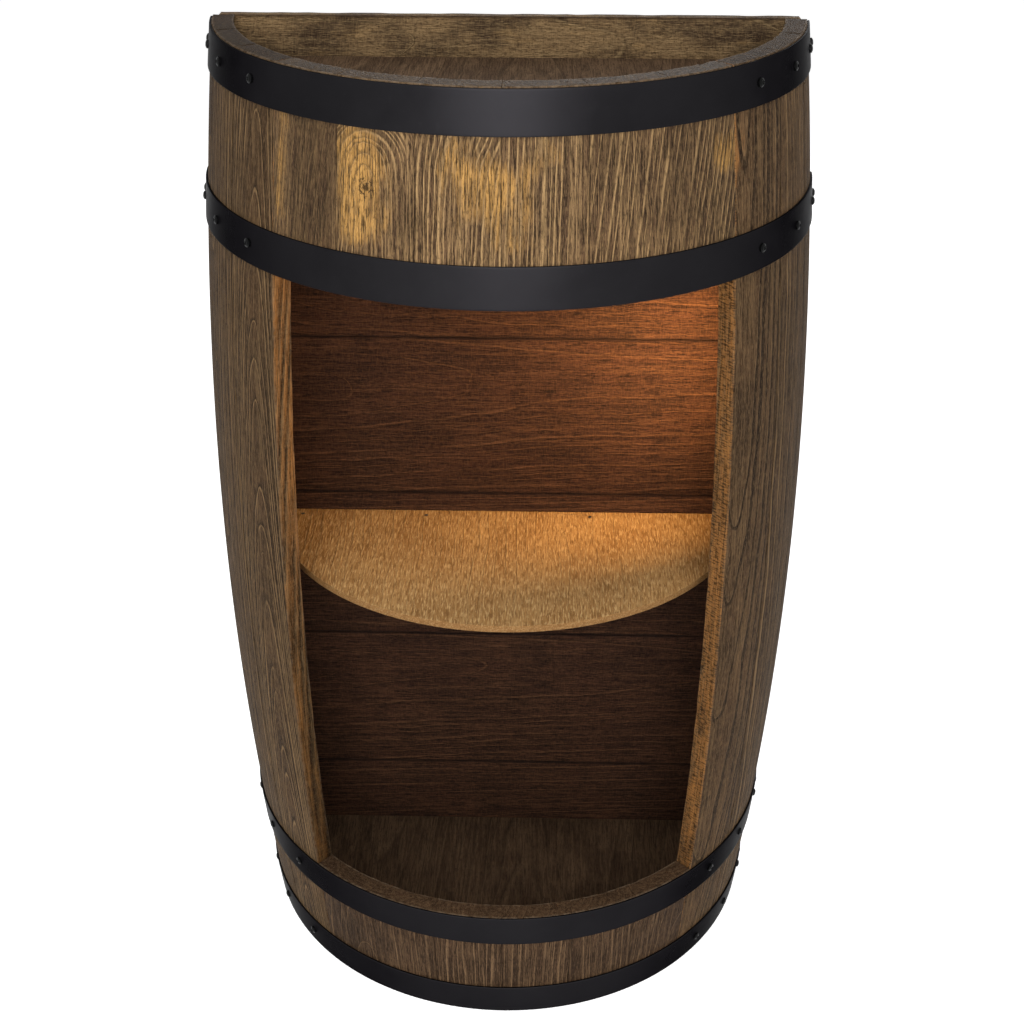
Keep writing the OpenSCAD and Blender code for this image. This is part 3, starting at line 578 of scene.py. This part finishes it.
# How each stave was cut from the tree: centre of its rings, their lean, how narrow their arches are, where
# they rise to a crown, the gap between rings, tone, golden wear, and how calm or bold its grain is
sideCuts = {
    ("left", 1): {"pith": (14, 70), "lean": (0.01, 0.03), "tone": 0.96, "gold": -0.08, "gap": 5.5},
    ("left", 2): {"pith": (-20, 60), "lean": (0.0, -0.04), "squeeze": 1.5, "tone": 0.98, "gold": -0.04},
    ("left", 3): {"pith": (-2, 30), "lean": (0.012, 0.105), "squeeze": 2.6, "tone": 1.1, "gold": -0.02,
                  "gap": 4.6, "bold": 0.25},
    ("right", 1): {"pith": (-12, 64), "lean": (0.01, -0.03), "tone": 0.94, "gold": -0.08, "gap": 6.0},
    ("right", 2): {"pith": (46, 34), "lean": (0.0, 0.01), "tone": 1.08, "gold": -0.06, "gap": 5.5,
                   "bold": 0.2},
    ("right", 3): {"pith": (24, 52), "lean": (-0.006, -0.055), "tone": 1.25, "gold": -0.06, "gap": 6.4,
                   "bold": 1.0},
}
upperCuts = [
    {"pith": (30, 60), "lean": (0.05, 0.12), "squeeze": 2.0, "tone": 0.94, "gold": -0.08, "calm": 0.75},
    {"pith": (-6, 46), "lean": (0.0, 0.05), "squeeze": 1.8, "tone": 1.0, "gold": -0.02, "gap": 4.2,
     "crown": (112, -30, 7)},
    {"pith": (80, 26), "lean": (0.02, 0.0), "tone": 1.0, "gold": 0.0, "gap": 3.8, "crown": (104, -20, 7)},
    {"pith": (-70, 20), "lean": (0.03, 0.0), "tone": 0.98, "gold": 0.0, "gap": 4.6},
    {"pith": (-64, 30), "lean": (0.16, 0.0), "tone": 0.92, "gold": -0.05, "gap": 5.0},
    {"pith": (-90, 30), "lean": (0.22, 0.0), "tone": 0.86, "gold": -0.04, "gap": 4.6, "bold": 0.3},
]
lowerCuts = [
    {"pith": (20, 50), "lean": (0.02, 0.06), "tone": 0.96, "gold": -0.08},
    {"pith": (-30, 44), "lean": (0.0, 0.03), "tone": 1.0, "gold": -0.05},
    {"pith": (60, 30), "lean": (0.02, 0.0), "tone": 1.02, "gold": -0.04},
    {"pith": (-60, 24), "lean": (0.02, 0.0), "tone": 0.98, "gold": -0.04},
    {"pith": (-44, 40), "lean": (-0.03, 0.02), "tone": 0.94, "gold": -0.06},
    {"pith": (30, 50), "lean": (0.0, 0.05), "tone": 0.92, "gold": -0.08},
]
# Golden worn patches on the front staves and the cut edges beside them, from and to in degrees from the
# middle and in height, with their strength, and darker smudges given the same way
patches = [
    (-28.9, -21.0, 0.690, 0.772, 0.40), (-21.0, -17.5, 0.700, 0.765, 0.20), (-14.0, -9.5, 0.735, 0.760, 0.22),
    (-10.0, -2.0, 0.742, 0.768, 0.24), (-7.5, -1.5, 0.712, 0.748, 0.28), (-13.0, -9.0, 0.700, 0.735, 0.18),
    (-2.5, 5.0, 0.690, 0.752, 0.26), (4.0, 12.5, 0.745, 0.768, 0.24), (8.0, 14.0, 0.700, 0.730, 0.10),
    (19.0, 27.0, 0.752, 0.765, 0.10), (38.0, 47.5, 0.728, 0.763, 0.34), (-43.4, -39.7, 0.69, 0.79, 0.40),
    (24.0, 40.0, 0.030, 0.105, 0.16), (-10.0, 4.0, 0.060, 0.110, 0.12), (9.0, 15.0, 0.030, 0.070, 0.10),
]
smudges = [
    (-17.0, -14.0, 0.695, 0.726, 0.35), (14.5, 18.5, 0.750, 0.762, 0.4), (27.0, 34.0, 0.70, 0.74, 0.15),
    (-39.4, -28.0, 0.68, 0.80, 0.34), (-44.0, -29.5, 0.0, 0.12, 0.20),
]
# How soft a patch is at its left, at its right and upright, and how far off in degrees a stave may lie
blobLook = {"left": 0.6, "right": 1.1, "upright": 0.004, "before": 7, "after": 12}


def rise(x, soft):
    return 1 + np.exp(-x / soft)


def blobs(spots, deg, z):
    # Sum of soft-edged patches; one that begins at a joint stays off the next stave
    total = np.zeros(len(deg))
    for fromDeg, toDeg, fromZ, toZ, strength in spots:
        if fromDeg - blobLook["before"] < deg.mean() < toDeg + blobLook["after"]:
            inside = 1 / rise(deg - fromDeg, blobLook["left"]) / rise(toDeg - deg, blobLook["right"])
            inside = strength * inside / rise(z - fromZ, blobLook["upright"])
            total += inside / rise(toZ - z, blobLook["upright"])
    return total


endTone = {"side": 0.42, "upper": 0.42, "lower": 1.1}
endLook = {"flat": 0.0002, "fade": 0.0006}
# The right staves are lighter above the upper hoop
highBand = {"fromZ": 0.67, "fade": 0.004, "lift": 0.2}
# Sawn faces beside the opening: gold, saw marks, how much darker they are, and below which height; on the
# left this darkening towards the bottom is painted shade
sawnRim = {"from": 0.0015, "fade": 0.001}
cutFace = {
    "left": {"gold": 0.36, "saw": 0.15, "dim": 0.5, "below": 0.42, "fade": 0.25},
    "right": {"gold": 0.34, "saw": 0.9, "dim": 0.1},
}
sideLook = {"steps": (0.006, 0.006, 0.01), "bevel": 0.0006, "wear": 0.0006, "joint": 0.45}


def endShade(p, tone, length, kind):
    # End grain soaks up more stain
    fromEnd = np.minimum(p[:, 2], length - p[:, 2])
    atEnd = np.clip(1 - (fromEnd - endLook["flat"]) / endLook["fade"], 0, 1)
    return tone * (1 - (1 - endTone[kind]) * atEnd)


def sideStave(side, i):
    sign = -1 if side == "left" else 1
    fromA, toA = rearAngle + (i - 1) * sidePitch, rearAngle + i * sidePitch
    width = (toA - fromA) * bellyR

    def place(p):
        z, depth = p[:, 2], p[:, 1]
        start = np.arcsin(wallGap / barrelR(z, depth)) if i == 1 else fromA
        return onBarrel(sign, start + p[:, 0] / width * (toA - start), z, depth)

    def faces(p, tone, gold, saw, edge, joint):
        if i == sideCount:
            sawn = cutFace[side]
            cut = np.clip((p[:, 0] - width + sawnRim["from"]) / sawnRim["fade"], 0, 1)
            # On the left the sawn face darkens towards the bottom: painted shade
            low = np.clip((sawn["below"] - p[:, 2]) / sawn["fade"], 0, 1) if "below" in sawn else 1
            gold = gold + sawn["gold"] * cut
            tone = tone * (1 - sawn["dim"] * cut * low)
            saw = saw + sawn["saw"] * cut
            edge = edge + joint * (p[:, 0] > width / 2)
            deg = sign * (90 - np.degrees(fromA + p[:, 0] / width * (toA - fromA)))
            gold = gold + blobs(patches, deg, p[:, 2])
        if side == "right":
            tone = tone * (1 + highBand["lift"] / rise(p[:, 2] - highBand["fromZ"], highBand["fade"]))
        return endShade(p, tone, height, "side"), gold, saw, edge

    cut = {**sideCuts[side, i], "seed": seeds[side] + seedSkip["side"] * i}
    obj = boardMesh("side" + side.capitalize() + str(i), (width, barrel["staveT"], height), sideLook["steps"],
                    place, cut, sideLook, faces)
    addPiece(obj, woods["side"], f"stave_{side}_{i}")


frontLook = {
    "upper": {"steps": (0.003, 0.006, 0.004), "bevel": 0.0004, "wear": 0.0005, "joint": 0.15},
    "lower": {"steps": (0.003, 0.006, 0.004), "bevel": 0.0004, "wear": 0.0005, "joint": 0.35},
}


def frontStave(kind, i, cut, fromZ, toZ, wood):
    start = cutAngle + (i - 1) * frontPitch
    width = frontPitch * bellyR

    def place(p):
        return onBarrel(-1, start + p[:, 0] / width * frontPitch, fromZ + p[:, 2], p[:, 1])

    def faces(p, tone, gold, saw, edge, joint):
        deg = np.degrees(start + p[:, 0] / width * frontPitch) - 90
        z = fromZ + p[:, 2]
        gold = gold + blobs(patches, deg, z)
        tone = tone * (1 - blobs(smudges, deg, z))
        return endShade(p, tone, toZ - fromZ, kind), gold, saw, edge

    look = frontLook[kind]
    cut = {**cut, "seed": seeds[kind] + seedSkip["front"] * i}
    obj = boardMesh(kind + "Stave" + str(i), (width, barrel["staveT"], toZ - fromZ), look["steps"],
                    place, cut, look, faces)
    addPiece(obj, wood, f"stave_{kind}_{i}")


for side in ("left", "right"):
    for i in range(1, sideCount + 1):
        sideStave(side, i)
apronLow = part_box("stave_upper_1")[0].z
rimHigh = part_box("stave_lower_1")[1].z
for i in range(1, frontCount + 1):
    frontStave("upper", i, upperCuts[i - 1], apronLow, height, woods["apron"])
    frontStave("lower", i, lowerCuts[i - 1], 0.0, rimHigh, woods["rim"])
print("staves made")

# Back planks, and the recesses and pockets of the hangers in the top one
plankLook = {"steps": (0.008, 0.006, 0.012), "bevel": 0.0008, "wear": 0.0008, "flush": 0.00015, "joint": 0.7,
             "gold": -0.1, "topGold": 0.11, "gap": 0.00015, "recessCorner": 0.0052, "recessMore": 0.0002,
             "pocketW": 0.014, "keyslotL": 0.014, "pocketD": 0.007}
# Tone of each plank from the bottom; the fourth and fifth, in the upper compartment, are darker as painted
# shade
plankToneAndShade = [1.0, 1.05, 0.95, 0.85, 0.8, 1.0]
# The golden top plank is as dark as the others behind
behindLook = {"from": 0.003, "fade": 0.002, "tone": 0.35, "gold": 0.3, "saw": 0.2, "edge": 0.72}
cutterLook = {"sides": 32, "past": 0.002}


def backPlank(i):
    low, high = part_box(f"back_plank_{i}")
    size = (high.z - low.z, high.y - low.y - plankLook["flush"], 2 * bellyR)

    def place(p):
        z = low.z + p[:, 0]
        half = barrelR(z, barrel["plankInset"])
        return np.stack([(p[:, 2] / size[2] * 2 - 1) * half, wallY + p[:, 1], z], 1)

    def faces(p, tone, gold, saw, edge, joint):
        behind = 0.0
        if i == plankCount:
            behind = np.clip((p[:, 1] - size[1] + behindLook["from"]) / behindLook["fade"], 0, 1)
        return (tone * (1 - behindLook["tone"] * behind), gold - behindLook["gold"] * behind,
                saw + behindLook["saw"] * (1 - behind), edge - behindLook["edge"] * behind)

    cut = {"pith": (30 * (-1) ** i, 40 + 8 * i), "lean": (0.02, 0.03 * (-1) ** i), "tone": plankToneAndShade[i - 1],
           "gold": plankLook["topGold" if i == plankCount else "gold"], "seed": seeds["plank"] + i}
    obj = boardMesh("backPlank" + str(i), size, plankLook["steps"], place, cut, plankLook, faces)
    if i < plankCount:
        return obj

    # Recess and pocket of each hanger, cut into the top plank
    for node in ("hanger_left", "hanger_right"):
        at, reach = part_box(node)
        x, gap, pocketW = (at.x + reach.x) / 2, plankLook["gap"], plankLook["pocketW"]
        keyZ = at.z + (reach.z - at.z) / 2 - plankLook["keyslotL"] / 4
        keyTop = keyZ + plankLook["keyslotL"]
        recess = slotCutter(x, at.z - gap, reach.z + gap, reach.x - at.x + 2 * gap, plankLook["recessCorner"],
                            reach.y - at.y + plankLook["recessMore"])
        pocket = slotCutter(x, keyZ - pocketW / 2, keyTop + pocketW / 2, pocketW, pocketW / 2,
                            plankLook["pocketD"])
        for cutter in (recess, pocket):
            carve = obj.modifiers.new("carve", "BOOLEAN")
            carve.operation, carve.solver, carve.object = "DIFFERENCE", "EXACT", cutter
            bpy.context.view_layer.objects.active = obj
            bpy.ops.object.modifier_apply(modifier="carve")
            bpy.data.objects.remove(cutter)
    mesh = obj.data
    world = np.empty(len(mesh.vertices) * 3)
    mesh.vertices.foreach_get("co", world)
    world = world.reshape(-1, 3)
    half = barrelR(world[:, 2], barrel["plankInset"])
    local = np.stack([world[:, 2] - low.z, world[:, 1] - wallY, (world[:, 0] / half + 1) / 2 * size[2]], 1)
    for key, values in boardData(local, size, cut, plankLook, faces).items():
        mesh.attributes.remove(mesh.attributes[key])
        addAttribute(mesh, key, values)
    mesh.set_sharp_from_angle(angle=math.radians(keptSharpDeg))
    return obj


def slotCutter(x, fromZ, toZ, width, corner, depth):
    # Upright plate with round corners, from behind the back to the given depth
    ring = []
    for k in range(cutterLook["sides"]):
        a = 2 * math.pi * (k + 0.5) / cutterLook["sides"]
        cx = math.copysign(width / 2 - corner, math.cos(a)) + corner * math.cos(a)
        cz = (toZ - corner if math.sin(a) > 0 else fromZ + corner) + corner * math.sin(a)
        ring.append((x + cx, cz))
    points = [(px, y, pz) for y in (backY + cutterLook["past"], backY - depth) for px, pz in ring]
    n = len(ring)
    faces = [list(range(n)), list(range(2 * n - 1, n - 1, -1))]
    faces += [[k, n + k, n + (k + 1) % n, (k + 1) % n] for k in range(n)]
    mesh = bpy.data.meshes.new("cutter")
    mesh.from_pydata(points, [], faces)
    mesh.update()
    shape = bmesh.new()
    shape.from_mesh(mesh)
    bmesh.ops.recalc_face_normals(shape, faces=shape.faces)
    shape.to_mesh(mesh)
    shape.free()
    return addObject("cutter", mesh)


for i in range(1, plankCount + 1):
    plank = backPlank(i)
    wood = woods["back"] if i < plankCount else woods["tray"]
    addPiece(plank, wood, f"back_plank_{i}")
print("back made")

# Boards cut from a half disc: degrees per facet of the rim, least angle of a rounded edge, how dark the rim
# is, and how near to the back planks the rim may end
stripLook = {"turnDeg": 2, "flatDeg": 30, "rimEdge": -0.55, "touch": 1e-5}


def discStrip(name, radius, x0, x1, top, thick, cut, bevel):
    # Piece of a half disc between two x, from the back planks to the rim
    reach = math.sqrt(radius ** 2 - wallGap ** 2)
    x0, x1 = max(x0, -reach), min(x1, reach)
    fromTurn, toTurn = math.asin(x1 / radius), math.asin(x0 / radius)
    steps = max(3, round(abs(fromTurn - toTurn) / math.radians(stripLook["turnDeg"])))
    turns = np.linspace(fromTurn, toTurn, steps + 1)
    outline = [(radius * math.sin(a), axisY - radius * math.cos(a)) for a in turns]
    if outline[0][1] < wallY - stripLook["touch"]:
        outline.insert(0, (x1, wallY))
    if outline[-1][1] < wallY - stripLook["touch"]:
        outline.append((x0, wallY))
    shape = bmesh.new()
    verts = [shape.verts.new((x, y, top - thick)) for x, y in outline]
    face = shape.faces.new(verts)
    raised = bmesh.ops.extrude_face_region(shape, geom=[face])
    upper = [v for v in raised["geom"] if isinstance(v, bmesh.types.BMVert)]
    bmesh.ops.translate(shape, vec=(0, 0, thick), verts=upper)
    bmesh.ops.recalc_face_normals(shape, faces=shape.faces)
    corners = [e for e in shape.edges if e.calc_face_angle(0) > math.radians(stripLook["flatDeg"])]
    roundEdges(shape, corners, bevel, 3)
    mesh = bpy.data.meshes.new(name)
    shape.to_mesh(mesh)
    shape.free()
    points = np.array([v.co for v in mesh.vertices])
    grain = grainOf(points[:, 0] - (x0 + x1) / 2, top - points[:, 2], points[:, 1] - wallY, cut)
    for key, values in grain.items():
        addAttribute(mesh, key, values)
    addAttribute(mesh, "board", np.tile([cut["tone"], cut["gold"], 0.0], (len(points), 1)))
    outer = np.hypot(points[:, 0], points[:, 1] - axisY) > radius - bevel * 0.5
    addAttribute(mesh, "edge", np.where(outer, stripLook["rimEdge"], 0.0))
    mesh.shade_smooth()
    mesh.set_sharp_from_angle(angle=math.radians(stripSharpDeg))
    return addObject(name, mesh)


# Lid and floor, each of boards that reach into the groove of the staves
headLook = {"boards": 5, "boardW": 0.094, "croze": 0.004, "bevel": 0.0005, "gold": -0.05}


def headPanel(name, node, tones):
    low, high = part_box(node)
    radius = barrelR((low.z + high.z) / 2, barrel["staveT"]) + headLook["croze"]
    boardW = headLook["boardW"]
    parts = []
    for k in range(headLook["boards"]):
        x0 = (k - headLook["boards"] / 2) * boardW
        cut = {"pith": (20 * (-1) ** k, 30 + 11 * k), "lean": (0.03, 0.05 * (-1) ** k), "tone": tones[k],
               "gold": headLook["gold"], "seed": seeds["head"] + k + len(name)}
        parts.append(discStrip(name + str(k), radius, x0, x0 + boardW, high.z, high.z - low.z, cut,
                               headLook["bevel"]))
    addPiece(joined(parts, name), woods["head"], node)


headPanel("lidBoards", "lid", [0.96, 1.02, 0.94, 1.0, 0.97])
headPanel("floorBoards", "floor_panel", [0.98, 0.94, 1.0, 0.95, 1.02])
shelfLow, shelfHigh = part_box("shelf")
shelfR = axisY - shelfLow.y
shelfLook = {"below": 0.00015, "bevel": 0.0006}
shelfCut = {"pith": (150, 240), "lean": (0.0, 0.0), "tone": 0.78, "gold": 0.12, "seed": seeds["shelf"]}
shelf = discStrip("shelfBoard", shelfR, -shelfR, shelfR, shelfHigh.z - shelfLook["below"],
                  shelfHigh.z - shelfLow.z - shelfLook["below"], shelfCut, shelfLook["bevel"])
addPiece(shelf, woods["shelf"], "shelf")
print("lid, floor and shelf made")

# Cleat and blocks under the shelf
battenBevel = 0.0008
battens = {"shelf_cleat": "shelfCleat", "shelf_block_left": "shelfBlockLeft",
           "shelf_block_right": "shelfBlockRight"}
for node, name in battens.items():
    piece = softened(node, name, battenBevel)
    points = np.array([v.co for v in piece.data.vertices])
    low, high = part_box(node)
    along = points[:, 0] if node == "shelf_cleat" else points[:, 1]
    across = points[:, 1] if node == "shelf_cleat" else points[:, 0]
    cut = {"pith": (20, 26), "lean": (0.0, 0.02), "seed": seeds["batten"] + len(name)}
    for key, values in grainOf(across - low.y, high.z - points[:, 2], along, cut).items():
        addAttribute(piece.data, key, values)
    addAttribute(piece.data, "board", np.tile([1.0, 0.0, 0.0], (len(points), 1)))
    addAttribute(piece.data, "edge", np.zeros(len(points)))
    addPiece(piece, woods["batten"], node)
print("battens made")

# Hoops, slightly uneven on their outer face
hoopLook = {"steps": (0.007, 0.001, 0.006), "bevel": 0.00035, "wobble": 0.00012, "waves": 9}


def hoop(name, seed):
    low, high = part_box("hoop_" + name)
    t, w = barrel["hoopT"], high.z - low.z

    def place(p):
        z = low.z + p[:, 2]
        uneven = hoopLook["wobble"] * (1 + wobble(p[:, 0] * hoopLook["waves"], seed))
        depth = -p[:, 1] - uneven * (p[:, 1] > t / 2)
        start = np.arcsin(wallGap / barrelR(z, depth))
        return onBarrel(-1, start + p[:, 0] / length * (math.pi - 2 * start), z, depth)

    length = math.pi * bellyR
    points, quads = roundedBox((length, t, w), hoopLook["steps"], hoopLook["bevel"])
    obj = makeMesh("hoop" + name.capitalize(), place(points), quads)
    addPiece(obj, blackPaint, "hoop_" + name)


for seed, name in enumerate(("bottom", "lower", "upper", "top")):
    hoop(name, seed)
print("hoops made")

# Small parts: name, width of the rounded edges, material, slot and body
smallParts = {}
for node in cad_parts:
    if node.startswith("hoop_screws_"):
        name = "screws" + node.split("_")[-1].capitalize()
        smallParts[node] = (name, 0.0, blackOxide, "black_screw", "cabinet")
smallParts.update({
    "battery_box": ("batteryBox", 0.0003, boxPlastic, "box_plastic", "cabinet"),
    "hanger_left": ("hangerLeft", 0.0003, zinc, "zinc_steel", "cabinet"),
    "hanger_right": ("hangerRight", 0.0003, zinc, "zinc_steel", "cabinet"),
    "battery_cover": ("batteryCover", 0.00025, boxPlastic, "box_plastic", "battery_cover"),
    "switch_knob": ("switchKnob", 0.0003, greyPlastic, "knob_plastic", "switch_knob"),
    "light_lead": ("lightLead", 0.0, palePlastic, "lead_jacket", "cabinet"),
})
for node, (name, width, material, slot, body) in smallParts.items():
    addPiece(softened(node, name, width), material, node, body)

# CAD nodes that show as they are
kept = {
    "plank_screws": blackOxide, "cleat_screws": blackOxide, "hanger_screws": blackOxide, "head_brads": zinc,
    "block_screws": zinc, "shelf_brads": zinc, "light_strip": palePlastic, "light_chips": litChip,
    "battery_pad": foam, "battery_cells": cellSleeve, "battery_contacts": zinc,
}
for node, material in kept.items():
    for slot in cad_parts[node].material_slots:
        slot.material = material
print("small parts made")

# Camera: place in metres, angles in degrees, lens and sensor in millimetres
cameraLook = {"place": (0.0278978, -1.1237646, 1.062833), "down": 29.0036, "left": 1.1493, "roll": 0.1627,
              "lens": 57.261, "sensor": 36.0}


def addCamera():
    data = bpy.data.cameras.new("camera")
    data.lens, data.sensor_width = cameraLook["lens"], cameraLook["sensor"]
    camera = addObject("camera", data)
    left = Matrix.Rotation(math.radians(cameraLook["left"]), 4, "Z")
    down = Matrix.Rotation(math.radians(90 - cameraLook["down"]), 4, "X")
    roll = Matrix.Rotation(math.radians(cameraLook["roll"]), 4, "Z")
    camera.matrix_world = Matrix.Translation(cameraLook["place"]) @ left @ down @ roll
    bpy.context.scene.camera = camera


def addLamp(name, place, target, size, power, color=(1, 1, 1), spread=180):
    data = bpy.data.lights.new(name, "AREA")
    data.shape = "RECTANGLE"
    data.size, data.size_y = size
    data.energy = power
    data.color = color
    data.spread = math.radians(spread)
    lamp = addObject(name, data)
    lamp.location = place
    lamp.rotation_euler = (Vector(target) - Vector(place)).to_track_quat("-Z", "Y").to_euler()
    lamp.visible_camera = False


floorLook = {"half": 30.0, "shade": 0.9, "rough": 0.9, "seen": 0.72}


def addFloor():
    side = floorLook["half"]
    corners = np.array([(-side, -side, 0), (side, -side, 0), (side, side, 0), (-side, side, 0)], float)
    floor = makeMesh("studioFloor", corners, np.array([[0, 1, 2, 3]]))
    g = Graph("paleFloor")
    path = g.node("ShaderNodeLightPath").outputs
    seen = g.math("MAXIMUM", path["Is Camera Ray"], path["Is Glossy Ray"])
    seen = g.math("MAXIMUM", seen, path["Is Transmission Ray"])
    floor.data.materials.append(g.finish(
        Base_Color=(floorLook["shade"],) * 3 + (1.0,), Roughness=floorLook["rough"], Specular_IOR_Level=0.0,
        Emission_Color=(1.0, 1.0, 1.0, 1.0), Emission_Strength=g.math("MULTIPLY", seen, floorLook["seen"])))
    floor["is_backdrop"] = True


def addWorld(strength):
    world = bpy.data.worlds.new("studio")
    bpy.context.scene.world = world
    world.use_nodes = True
    tree = world.node_tree
    tree.nodes.clear()
    path = tree.nodes.new("ShaderNodeLightPath")
    seen = tree.nodes.new("ShaderNodeMath")
    seen.operation = "MAXIMUM"
    tree.links.new(path.outputs["Is Camera Ray"], seen.inputs[0])
    both = tree.nodes.new("ShaderNodeMath")
    both.operation = "MAXIMUM"
    tree.links.new(path.outputs["Is Glossy Ray"], both.inputs[0])
    tree.links.new(path.outputs["Is Transmission Ray"], both.inputs[1])
    tree.links.new(both.outputs[0], seen.inputs[1])
    level = tree.nodes.new("ShaderNodeMapRange")
    level.inputs[3].default_value = strength
    level.inputs[4].default_value = 1.0
    tree.links.new(seen.outputs[0], level.inputs[0])
    shade = tree.nodes.new("ShaderNodeBackground")
    shade.inputs[0].default_value = (1.0, 1.0, 1.0, 1.0)
    tree.links.new(level.outputs[0], shade.inputs[1])
    out = tree.nodes.new("ShaderNodeOutputWorld")
    tree.links.new(shade.outputs[0], out.inputs[0])


# Studio lights: place, aim, size and power in watts
worldStrength = 0.29
lampLook = {
    "frontLight": ((0.0, -1.9, 1.35), (0, 0, 0.5), (1.4, 0.8), 27),
    "lowLight": ((0.0, -1.9, 0.58), (0, 0, 0.5), (0.9, 0.5), 7.5),
    "topLight": ((-0.2, -0.6, 2.3), (0, 0, 0.5), (1.4, 1.0), 15),
    "backLight": ((0.4, 2.4, 1.2), (0, 0, 0.45), (1.6, 1.0), 16),
}
# Glow of the light strip, a little off its chips and below the lead
glowLook = {"power": 1.5, "color": (1.0, 0.60, 0.25), "off": 0.010, "aim": (-0.57, 0.82, 0.0), "above": 0.05,
            "width": 0.008, "ends": 0.02, "spread": 150}

addCamera()
addWorld(worldStrength)
addFloor()
for name, look in lampLook.items():
    addLamp(name, *look)
stripLow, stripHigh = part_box("light_strip")
stripMid = (stripLow + stripHigh) / 2
inward = Vector((-stripMid.x, axisY - stripMid.y, 0)).normalized()
glowFrom = stripMid + glowLook["off"] * inward + Vector((0, 0, glowLook["above"] / 2))
glowL = stripHigh.z - stripLow.z - glowLook["above"] - glowLook["ends"]
glowSize = (glowLook["width"], glowL)
addLamp("stripGlow", glowFrom, glowFrom + Vector(glowLook["aim"]), glowSize, glowLook["power"],
        glowLook["color"], glowLook["spread"])
bpy.context.scene.view_settings.view_transform = "Standard"
print("camera and lights made")

low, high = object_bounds()
